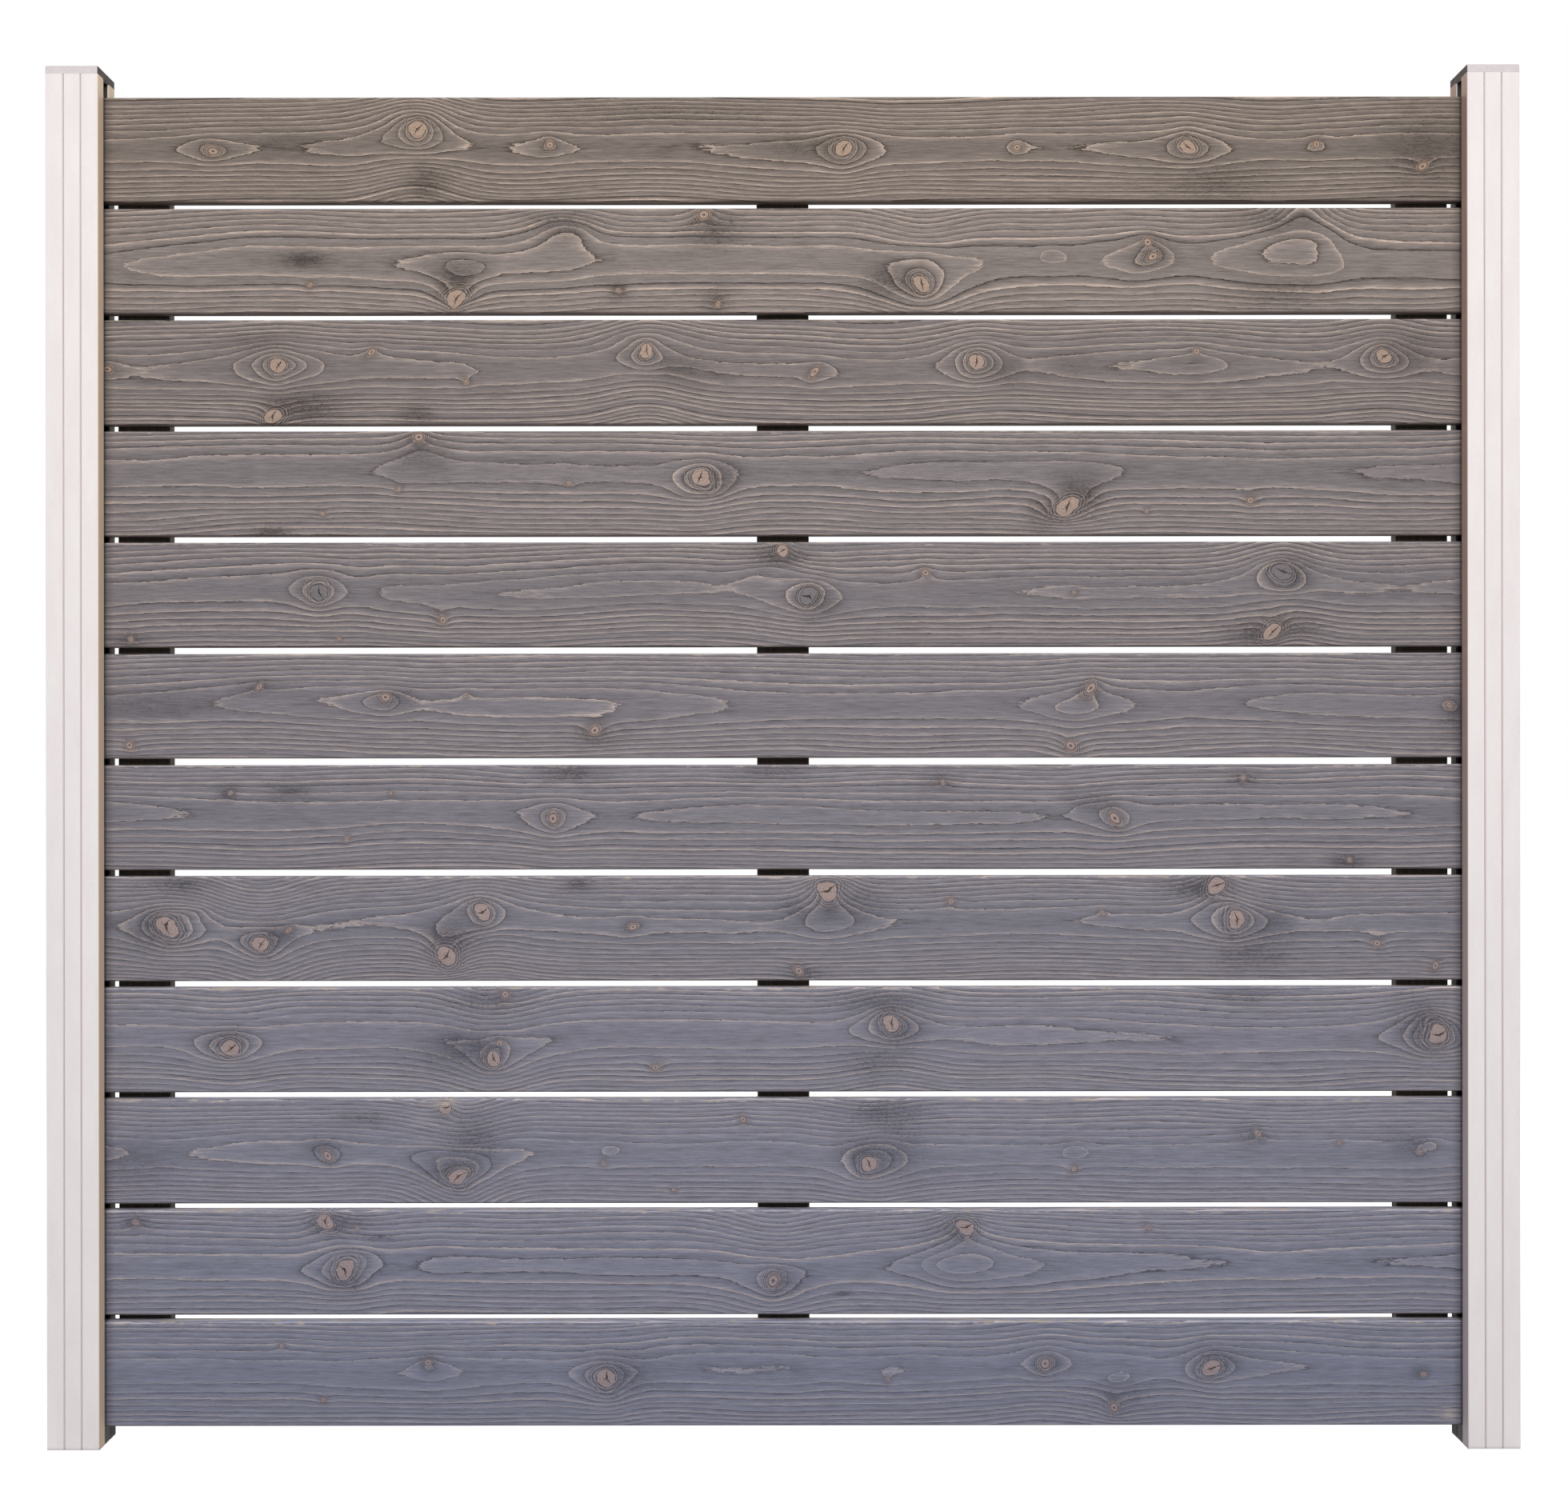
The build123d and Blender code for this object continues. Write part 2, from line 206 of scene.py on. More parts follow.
# Each board, from the top one down, as the photograph shows its face, in millimetres from the board's middle.
# tone: how light the stain is. heart: the height of the line that the arches point along.
# ring: the growth rings' spacing. arches: how the rings rise and fall along the heart line, as
# (along, rings); an arch has its tip where this passes a whole number.
# knots: (along, up, radius, crack angle); the angle is 0 where there is no crack, and below 0 on a grey knot.
# swirls: (along, up, half length, half height, rings).
# stains: (along, up, half length, half height, strength); below 0 the stain is worn off.
BOARDS = (
    dict(tone=0.86, heart=0, ring=4.6,
         arches=[(-920, 0.35), (-812, 0.3), (-704, 0.3), (-640, 0.02), (-560, -0.4), (-489, -0.3),
                 (-440, 0.25), (-353, 0.3), (-271, 0.35), (-110, 0.03), (-10, -0.35), (82, -0.3), (130, 0.3),
                 (270, 0.4), (395, 0.04), (470, -0.35), (543, -0.3), (630, 0.3), (720, 0.3), (810, 0.2),
                 (920, 0.3)],
         knots=[(-762, -2, 8, 0), (-489, 27, 11, 0.75), (-311, 6, 7, 0), (82, 1, 11, 0.85), (314, 2, 6, 0),
                (543, 2, 10, 2.2), (715, 6, 6, 0), (857, -24, 6, 0)],
         swirls=[(-489, 12, 50, 24, 0.8), (-762, 0, 62, 16, 0.5), (-311, 4, 46, 16, 0.4)],
         stains=[(-476, -45, 25, 22, 0.5), (27, 5, 60, 18, 0.35), (860, 0, 60, 50, 0.4),
                 (580, -45, 70, 25, 0.35), (-660, 10, 50, 15, 0.3), (-140, 48, 160, 16, 0.25)]),
    dict(tone=1.0, heart=-3, ring=6.2,
         arches=[(-920, 0.5), (-878, 0.0), (-800, -0.45), (-650, -0.6), (-560, -0.75), (-515, -1.0),
                 (-460, -1.25), (-390, -1.3), (-330, -1.4), (-280, -1.3), (-255, -0.8), (-200, -0.65),
                 (0, -0.6), (120, -0.6), (200, -0.45), (262, 0.05), (330, 0.4), (392, 0.35), (424, 0.0),
                 (470, -0.4), (514, 0.1), (560, 0.25), (580, 0.0), (650, -0.4), (720, -0.5), (760, 0.3),
                 (800, 0.45), (920, 0.5)],
         knots=[(-437, -51, 11, 0.9), (-105, 61, 8, 0), (187, -32, 11, 1.4), (489, 24, 6, 0), (496, 5, 8, 0),
                (-632, -32, 4, 0), (-86, -58, 4, 0), (-220, -40, 4, 0)],
         swirls=[(-740, -3, 120, 24, 0.15), (-425, -10, 40, 18, 0.9), (-292, 46, 50, 28, 3.0),
                 (185, 8, 45, 16, 0.9), (366, 5, 17, 9, 1.2), (668, 22, 62, 30, 1.2),
                 (700, 88, 46, 50, 5.4)],
         stains=[(-640, 1, 36, 12, 0.7), (-440, -25, 35, 25, 0.5), (-295, 50, 45, 22, 0.4),
                 (-90, 40, 40, 25, 0.5), (140, -30, 40, 25, 0.45), (660, 55, 60, 20, 0.4),
                 (668, -45, 60, 20, 0.35), (-220, -42, 14, 14, 0.5), (-90, -50, 20, 18, 0.4),
                 (498, 10, 30, 20, 0.35)]),
    dict(tone=0.87, heart=5, ring=4.9,
         arches=[(-920, 0.3), (-873, 0.0), (-780, -0.4), (-675, -0.3), (-600, -0.35), (-500, -0.3),
                 (-425, -0.15), (-412, 0.15), (-330, 0.45), (-240, 0.3), (-180, -0.1), (-100, -0.3),
                 (0, -0.35), (60, -0.2), (78, 0.1), (150, 0.45), (215, 0.25), (260, -0.2), (311, 0.2),
                 (346, 0.02), (390, -0.4), (439, -1.0), (520, -1.35), (590, -1.1), (640, -0.5), (700, -0.15),
                 (735, 0.05), (790, -0.4), (846, 0.05), (873, 0.0), (920, -0.3)],
         knots=[(-904, 4, 7, 0), (-675, 10, 10, 0.95), (-683, -59, 10, 1.5), (-550, 27, 6, 0),
                (-423, -14, 4, 0), (-182, 29, 9, 1.6), (43, 0, 6, 0), (260, 13, 10, 1.4), (554, 27, 5, 0),
                (805, 20, 9, 0.2)],
         swirls=[(550, 14, 35, 12, 0.7), (-182, 12, 30, 14, 0.7), (-675, 8, 62, 42, 1.6),
                 (262, 10, 38, 32, 1.1), (805, 14, 34, 32, 1.0)],
         stains=[(-640, -46, 55, 22, 0.6), (-490, -55, 25, 14, 0.5), (-135, 3, 40, 20, 0.4),
                 (-700, 40, 50, 12, 0.3), (300, 0, 30, 25, 0.35), (840, 25, 40, 30, 0.35),
                 (385, 10, 30, 20, 0.25)]),
    dict(tone=0.9, heart=14, ring=6.0,
         arches=[(-920, 0.4), (-600, 0.35), (-535, 0.05), (-500, -0.3), (-300, -0.35), (-160, -0.3),
                 (-110, -0.2), (-70, 0.2), (-10, 0.1), (10, -0.05), (35, 0.1), (100, 0.02), (180, -0.3),
                 (330, -0.35), (423, 0.0), (480, 0.3), (600, 0.2), (733, 0.0), (800, -0.3), (920, -0.4)],
         knots=[(-487, 62, 7, 0), (-110, 8, 11, 1.3), (380, -32, 12, 1.5), (626, -24, 5, 0),
                (487, -38, 4, 0), (-514, -8, 4, 0), (-286, 0, 4, 0), (-616, -41, 4, 0)],
         swirls=[(-480, 40, 40, 26, 0.7), (-110, -8, 30, 12, 0.6)],
         stains=[(-685, -66, 25, 8, 0.7), (-487, 45, 40, 25, 0.35), (-80, 8, 25, 22, 0.4),
                 (407, -15, 30, 30, 0.45), (348, -40, 25, 25, 0.35)]),
    dict(tone=0.86, heart=5, ring=5.4,
         arches=[(-920, 0.5), (-660, 0.5), (-600, 0.8), (-562, 0.6), (-535, 0.0), (-490, -0.35),
                 (-440, -0.5), (-378, -1.0), (-250, -1.3), (-120, -1.2), (-70, -0.9), (-55, -0.95),
                 (0, -1.3), (34, -1.2), (80, -0.8), (150, -0.6), (339, -1.0), (420, -1.2), (560, -1.25),
                 (669, -1.3), (720, -1.1), (830, -0.95), (840, -1.0), (920, -1.3)],
         knots=[(-621, 3, 11, -0.9), (-455, -34, 6, 0), (0, 59, 8, 0.3), (34, -2, 10, -0.5), (191, 29, 6, 0),
                (669, 30, 10, -0.3), (655, -51, 11, 0.9), (-873, -59, 4, 0), (-594, -59, 3, 0),
                (390, 2, 4, 0)],
         swirls=[(-30, 36, 45, 18, 1.0), (669, 10, 24, 10, 0.7)],
         stains=[(-5, 52, 40, 14, 0.6), (53, -15, 25, 20, 0.35), (690, 30, 25, 25, 0.35),
                 (626, -52, 35, 18, 0.5), (690, -45, 35, 18, 0.4), (-873, -60, 25, 10, 0.5)]),
    dict(tone=0.88, heart=0, ring=5.6,
         arches=[(-920, 0.4), (-750, 0.0), (-680, -0.5), (-618, -1.0), (-540, -1.3), (-480, -0.95),
                 (-440, -1.25), (-330, -1.4), (-239, -1.0), (-160, -0.5), (-64, 0.0), (30, 0.4), (200, 0.4),
                 (300, 0.15), (310, 0.0), (360, -0.4), (389, -0.9), (420, -0.4), (470, 0.0), (540, 0.35),
                 (610, 0.05), (700, -0.4), (800, -0.6), (920, -0.6)],
         knots=[(-532, 12, 7, 0), (-252, -33, 7, 0), (412, 23, 7.5, 0), (385, -54, 7.5, 0),
                (-875, -52, 5, 0), (-701, 26, 4, 0), (892, 0, 6, 0), (-425, 14, 4, 0)],
         swirls=[(389, -4, 40, 14, 0.7), (-545, 0, 30, 12, 0.8)],
         stains=[(-508, 12, 25, 15, 0.35), (-700, 25, 30, 10, 0.4), (-252, -42, 30, 14, 0.4),
                 (412, 15, 25, 15, 0.3), (905, -15, 25, 35, 0.4), (-850, 0, 80, 25, 0.3),
                 (-855, -20, 60, 3, -0.7), (-850, -31, 50, 2, -0.7)]),
    dict(tone=0.87, heart=3, ring=5.0,
         arches=[(-920, -0.4), (-814, 0.0), (-760, 0.3), (-500, 0.35), (-360, 0.25), (-308, -0.2),
                 (-255, 0.1), (-220, 0.2), (-187, 0.0), (-100, -0.3), (100, -0.4), (300, -0.3), (385, -0.02),
                 (400, -0.2), (444, -0.5), (490, -0.2), (600, -0.3), (760, -0.25), (840, 0.0), (900, 0.3)],
         knots=[(-308, -2, 9, 0), (444, -2, 8, 0), (-584, -29, 4, 0), (-739, 33, 4, 0), (-525, 33, 3, 0),
                (214, 46, 4, 0), (616, 52, 4, 0), (758, -58, 4, 0)],
         swirls=[(410, 12, 22, 8, 0.6)],
         stains=[(-284, 60, 40, 12, 0.6), (-660, 35, 30, 12, 0.5), (-744, 33, 15, 12, 0.5),
                 (209, 48, 25, 12, 0.4), (616, 50, 25, 12, 0.4), (755, -62, 25, 10, 0.7),
                 (-16, 60, 50, 10, 0.4), (412, 20, 30, 14, 0.4)]),
    dict(tone=0.86, heart=7, ring=4.6,
         arches=[(-920, 0.3), (-860, 0.2), (-827, -0.3), (-770, -0.2), (-740, 0.2), (-700, -0.2),
                 (-655, -0.1), (-600, 0.05), (-500, 0.0), (-440, -0.35), (-380, -0.1), (-340, -0.2),
                 (-250, -0.35), (-100, -0.3), (-10, -0.05), (7, 0.0), (60, -0.4), (100, -0.15), (160, 0.1),
                 (300, 0.2), (380, 0.02), (450, -0.25), (540, -0.2), (600, -0.5), (690, 0.0), (700, 0.02),
                 (760, -0.25), (920, -0.5)],
         knots=[(-827, 4, 13, 0.8), (-699, -21, 10, 1.0), (-662, -2, 5, 0), (-402, 22, 11, 0.6),
                (-450, -37, 13, 1.2), (-201, 2, 6, 0), (59, 49, 12, 0.6), (225, 36, 5, 0), (428, 20, 4, 0),
                (581, 57, 11, 0.4), (608, 11, 12, 1.75), (795, -21, 6, 0), (21, -57, 6, 0),
                (873, -51, 5, 0)],
         swirls=[(-790, 22, 22, 12, 0.8), (66, 20, 38, 30, 1.2), (-440, -6, 30, 18, 0.7)],
         stains=[(-808, 60, 40, 12, 0.5), (-851, 0, 30, 30, 0.4), (-680, -10, 30, 20, 0.4),
                 (-444, -12, 40, 25, 0.45), (102, 30, 35, 25, 0.45), (16, 25, 30, 20, 0.4),
                 (551, 55, 40, 18, 0.55), (626, -35, 50, 25, 0.4), (658, 10, 30, 25, 0.35),
                 (-273, 58, 20, 10, 0.6), (27, -60, 25, 10, 0.5)]),
    dict(tone=0.93, heart=2, ring=5.2,
         arches=[(-920, 0.45), (-800, 0.5), (-739, 0.75), (-680, 0.5), (-520, 0.35), (-444, 0.0),
                 (-385, -0.3), (-340, 0.0), (-250, 0.25), (0, 0.3), (90, 0.6), (145, 0.6), (190, 0.3),
                 (230, -0.05), (300, -0.2), (400, -0.12), (519, 0.0), (600, 0.3), (700, 0.3), (780, 0.25),
                 (840, 0.1), (878, -0.1), (920, -0.1)],
         knots=[(-739, -11, 11, 0.7), (-388, -25, 9, 1.6), (-380, -5, 6, 0), (-372, 61, 6, 0),
                (145, 21, 11, 0.9), (-171, -37, 5, 0), (878, 5, 14, 0.5)],
         swirls=[(-735, -2, 26, 12, 0.5), (148, 14, 44, 30, 1.0), (878, 4, 46, 36, 0.6)],
         stains=[(-744, 5, 35, 15, 0.35), (-401, 52, 60, 16, 0.4), (-412, -10, 40, 25, 0.4),
                 (-455, -20, 50, 30, 0.3), (128, 50, 60, 16, 0.5), (166, 10, 35, 25, 0.35),
                 (123, -30, 40, 25, 0.35), (616, 60, 50, 12, 0.4), (851, 20, 40, 40, 0.45)]),
    dict(tone=0.92, heart=-3, ring=4.8,
         arches=[(-920, -0.3), (-878, 0.0), (-830, 0.3), (-787, 0.02), (-700, -0.35), (-610, -0.5),
                 (-520, -0.5), (-450, -0.9), (-400, -0.5), (-343, 0.0), (-290, 0.35), (-150, 0.4), (0, 0.3),
                 (48, 0.5), (115, 0.6), (160, 0.5), (300, 0.45), (500, 0.4), (700, 0.35), (850, 0.3),
                 (920, 0.4)],
         knots=[(-452, 58, 9, 0.5), (-436, -34, 11, 0.8), (-610, -6, 7, 0), (115, -17, 10, 2.1),
                (-241, -17, 4, 0), (-54, 42, 5, 0), (-147, -52, 4, 0), (389, -25, 5, 0), (635, 23, 5, 0),
                (744, 10, 4, 0), (852, -2, 4, 0)],
         swirls=[(-450, -3, 40, 16, 1.0), (393, -1, 22, 9, 1.3), (862, 10, 18, 9, 1.0),
                 (-225, 2, 16, 6, 0.8), (128, 4, 32, 36, 1.3)],
         stains=[(-412, 15, 40, 35, 0.45), (-455, -25, 35, 20, 0.4), (-616, 8, 30, 14, 0.35),
                 (-562, 45, 40, 10, 0.4), (134, 52, 60, 18, 0.45), (155, 0, 40, 40, 0.35),
                 (102, 0, 30, 20, 0.4), (-862, -15, 50, 35, 0.3), (840, 8, 30, 20, 0.4),
                 (626, 20, 25, 15, 0.35), (-452, 65, 16, 6, -0.9)]),
    dict(tone=0.92, heart=-4, ring=5.6,
         arches=[(-920, 0.2), (-700, 0.3), (-640, 0.7), (-587, 0.8), (-530, 0.5), (-500, 0.1), (-460, -0.3),
                 (-200, -0.35), (-20, -0.25), (10, -0.05), (22, 0.2), (80, 0.4), (110, 0.3), (150, 0.0),
                 (190, -0.6), (216, -1.3), (250, -1.2), (290, -1.05), (332, -1.0), (380, -0.6), (480, -0.3),
                 (573, 0.0), (640, 0.3), (780, 0.05), (800, 0.0), (920, -0.3)],
         knots=[(-614, 55, 10, 0.9), (-587, -10, 13, 2.6), (-867, 54, 6, 0), (-14, -25, 9, 0),
                (244, 46, 11, 0.5), (-570, 46, 4, 0), (488, 46, 4, 0)],
         swirls=[(216, -5, 40, 14, 0.8), (262, 6, 50, 36, 0.8)],
         stains=[(-594, 52, 45, 14, 0.5), (-584, -25, 30, 20, 0.35), (-867, 54, 25, 12, 0.5),
                 (220, 40, 40, 20, 0.35), (5, -28, 25, 20, 0.35), (-541, 34, 22, 3, 0.7),
                 (80, -42, 12, 3, 0.9)]),
    dict(tone=0.9, heart=3, ring=5.2,
         arches=[(-920, 0.4), (-600, 0.35), (-500, 0.05), (-476, -0.1), (-440, 0.1), (-400, 0.3),
                 (-300, 0.6), (-237, 0.6), (-195, 0.6), (-150, 0.1), (-100, -0.1), (10, 0.0), (60, 0.3),
                 (100, 0.1), (150, -0.1), (190, 0.0), (240, 0.3), (330, 0.3), (360, 0.15), (410, 0.2),
                 (450, 0.1), (510, 0.8), (550, 0.7), (573, 0.2), (640, -0.15), (700, 0.0), (760, 0.3),
                 (920, 0.35)],
         knots=[(-476, 15, 6, 0), (-237, -6, 12, 1.55), (139, -8, 4, 0), (350, 13, 9, 0), (573, 6, 11, 0.4),
                (442, -46, 8, 0), (-616, -35, 4, 0), (-672, 38, 4, 0), (857, -2, 4, 0)],
         swirls=[(450, -8, 22, 9, 1.1), (-465, 5, 24, 10, 0.6)],
         stains=[(-209, 0, 40, 30, 0.4), (583, 20, 45, 20, 0.35), (455, -30, 40, 20, 0.35),
                 (358, 12, 25, 14, 0.3), (-476, 18, 20, 10, 0.35), (850, 0, 15, 10, 0.4),
                 (889, -54, 12, 9, -0.9)]),
)

# The noise that bends the grain: the span it covers, and each kind's patches as (length, height)
NOISE_LENGTH = 2400.0
NOISE_HEIGHT = 240.0
HEART_PATCH = (260.0, 100.0)
WAVE_PATCH = (170.0, 34.0)
RIPPLE_PATCH = (60.0, 12.0)
FACE_PATCH = (90.0, 40.0)
STRAY_PATCH = (46.0, 26.0)

# Each kind's seed, added to the board's number
HEART_SEED = 0
WAVE_SEED = 20
RIPPLE_SEED = 40
FACE_SEED = 60
STRAY_ALONG_SEED = 80
STRAY_UP_SEED = 100


def field_noise(seed, along, up, patch):
    """Smooth seeded noise from -1 to 1 whose patches have about this length and height."""
    length, height = patch
    size = (int(NOISE_LENGTH / length) + 4, int(NOISE_HEIGHT / height) + 4)
    grid = np.random.default_rng(seed).uniform(-1.0, 1.0, size)
    x = (along + NOISE_LENGTH / 2) / length
    z = (up + NOISE_HEIGHT / 2) / height
    i, k = x.astype(int), z.astype(int)
    s, t = x - i, z - k
    s, t = s * s * (3 - 2 * s), t * t * (3 - 2 * t)
    low = grid[i, k] * (1 - s) + grid[i + 1, k] * s
    high = grid[i, k + 1] * (1 - s) + grid[i + 1, k + 1] * s
    return low * (1 - t) + high * t


# The arches are rounded off over this many steps of this length, out to this distance from the middle
ARCH_STEPS = 13
ARCH_STEP = 5.0
ARCH_REACH = 930.0

# The heart's distance behind the face, the least that this can be, and how fast it shrinks through the board
HEART_DEPTH = 42.0
HEART_LEAST = 6.0
HEART_LEAN = 0.8

# How far the heart line sways, and how it bends towards knots of at least this radius within this reach
HEART_SWAY = 5.0
HEART_BEND = 0.75
HEART_BEND_LENGTH = 65.0
HEART_KNOT = 9
HEART_REACH = 36

# How far the rings waver at the heart, how much more away from it, and a finer ripple, all in rings
WAVE_HEART = 0.10
WAVE_RISE = 0.70
WAVE_REACH = 60.0
RIPPLE = 0.10

# How far the ovals round knots and swirls stray
STRAY_ALONG = 8.0
STRAY_UP = 4.5

# A knot's drawn size, how far its pull and the face's swelling reach, and how many rings it pulls in
KNOT_SCALE = 1.03
KNOT_SPREAD_ALONG = 1.6
KNOT_SPREAD_UP = 1.4
KNOT_SWELL = 0.9
KNOT_PULL = 0.04

STAIN_STRENGTH = 1.4


def arch_rise(board, along):
    """How far the rings have risen at each place along the heart line."""
    stops, levels = zip(*board["arches"])
    places = np.arange(-ARCH_REACH, ARCH_REACH + ARCH_STEP / 2, ARCH_STEP)
    levels = np.pad(np.interp(places, stops, levels), ARCH_STEPS // 2, mode="edge")
    kernel = np.hanning(ARCH_STEPS)
    return np.interp(along, places, np.convolve(levels, kernel / kernel.sum(), mode="valid"))


def heart_line(number, along):
    """The height of the heart line at each place along a board."""
    board = BOARDS[number - 1]
    heart = board["heart"]
    line = heart + HEART_SWAY * field_noise(number + HEART_SEED, along, 0.0 * along, HEART_PATCH)
    for x, z, size, _ in board["knots"]:
        if size >= HEART_KNOT and abs(z - heart) < HEART_REACH:
            line += HEART_BEND * (z - heart) * np.exp(-((along - x) / HEART_BEND_LENGTH) ** 2)
    return line


def strayed(number, along, up):
    """Places moved a little, so that what is drawn round a point is no true oval."""
    return (along + STRAY_ALONG * field_noise(number + STRAY_ALONG_SEED, along, up, STRAY_PATCH),
            up + STRAY_UP * field_noise(number + STRAY_UP_SEED, along, up, STRAY_PATCH))


def board_grain(number, along, deep, up, faces):
    """What the wood shows at each place on a board.

    For each face corner: its rings from the heart, their slope and the nearest knot's crack angle, then the
    place from that knot, in its spreads, and the rings that the knot pulls in. For each vertex: its swelling
    and its stain.
    """
    board = BOARDS[number - 1]
    ring = board["ring"]
    across = up - heart_line(number, along)
    behind = np.maximum(HEART_DEPTH + ring * arch_rise(board, along) - HEART_LEAN * deep, HEART_LEAST)
    radius = np.hypot(across, behind)
    slope = np.abs(across) / radius
    rings = (radius - HEART_DEPTH) / ring
    wave = WAVE_HEART + WAVE_RISE * np.minimum(np.abs(across) / WAVE_REACH, 1.0)
    rings += wave * field_noise(number + WAVE_SEED, along, up, WAVE_PATCH)
    rings += RIPPLE * field_noise(number + RIPPLE_SEED, along, up, RIPPLE_PATCH)

    stray_along, stray_up = strayed(number, along, up)
    for x, z, half_length, half_height, pull in board["swirls"]:
        away = np.hypot((stray_along - x) / half_length, (stray_up - z) / half_height)
        rings -= pull * np.exp(-away ** 2)

    knot_along, knot_up, sizes, cracks = np.array(board["knots"], dtype=float).T
    sizes = KNOT_SCALE * sizes
    depths = KNOT_PULL * sizes ** 2
    knot_along, knot_up = strayed(number, knot_along, knot_up)
    offset = np.stack([(stray_along[:, None] - knot_along) / (KNOT_SPREAD_ALONG * sizes),
                       (stray_up[:, None] - knot_up) / (KNOT_SPREAD_UP * sizes)], axis=2)
    away = np.hypot(offset[:, :, 0], offset[:, :, 1])
    pulls = depths * np.exp(-away)
    rings -= pulls.sum(axis=1)
    swell = np.exp(-(away / KNOT_SWELL) ** 2).max(axis=1)

    # Each face belongs to the knot that pulls it most
    corner = np.concatenate([np.array(face) for face in faces])
    counts = np.array([len(face) for face in faces])
    starts = np.concatenate([[0], np.cumsum(counts)[:-1]])
    own = np.repeat(np.argmax(np.add.reduceat(pulls[corner], starts, axis=0), axis=1), counts)
    grain = np.stack([rings[corner] + pulls[corner, own], slope[corner], cracks[own]], axis=1)
    knot = np.column_stack([offset[corner, own], depths[own]])

    stain = np.zeros(len(along))
    for x, z, half_length, half_height, strength in board["stains"]:
        stain += strength * np.exp(-np.hypot((along - x) / half_length, (up - z) / half_height) ** 2)
    stain = np.where(stain > 0.0, STAIN_STRENGTH * stain, stain)
    return grain, knot, swell, np.clip(stain, -1.0, 1.0)


# The arms of a knot's drying crack: the lead over the crack's angle, how far and how fast that sways from
# knot to knot, and the arm's reach and half width in knot radii
CRACKS = ((0.0, 0.0, 1.0, 1.1, 0.13), (3.1, 0.6, 9.0, 1.0, 0.11), (1.75, 0.5, 5.0, 0.7, 0.06),
          (-1.3, 0.4, 13.0, 0.5, 0.05))

# The stain's colours on the top board and on the bottom one: the wood between the ring edges, the ring edges,
# the hollows, and the knots' end grain
BODY = ((0.229, 0.193, 0.169), (0.229, 0.241, 0.316))
PALE = ((0.56, 0.445, 0.37), (0.455, 0.40, 0.39))
DUSK = ((0.060, 0.045, 0.037), (0.080, 0.083, 0.118))
TAN = ((0.425, 0.308, 0.236), (0.350, 0.284, 0.292))

CRACK_COLOUR = (0.028, 0.02, 0.016, 1.0)
# Painted shade for the boards' lower edges
LOWER_EDGE_SHADE_COLOUR = (0.085, 0.060, 0.045, 1.0)
BARE_WOOD_COLOUR = (0.56, 0.49, 0.42, 1.0)
# Painted shadow for the boards' ends inside the posts
END_SHADOW_COLOUR = (0.018, 0.016, 0.017, 1.0)

# How far the shader's noise moves on from board to board
SHADER_SEED = 7.31


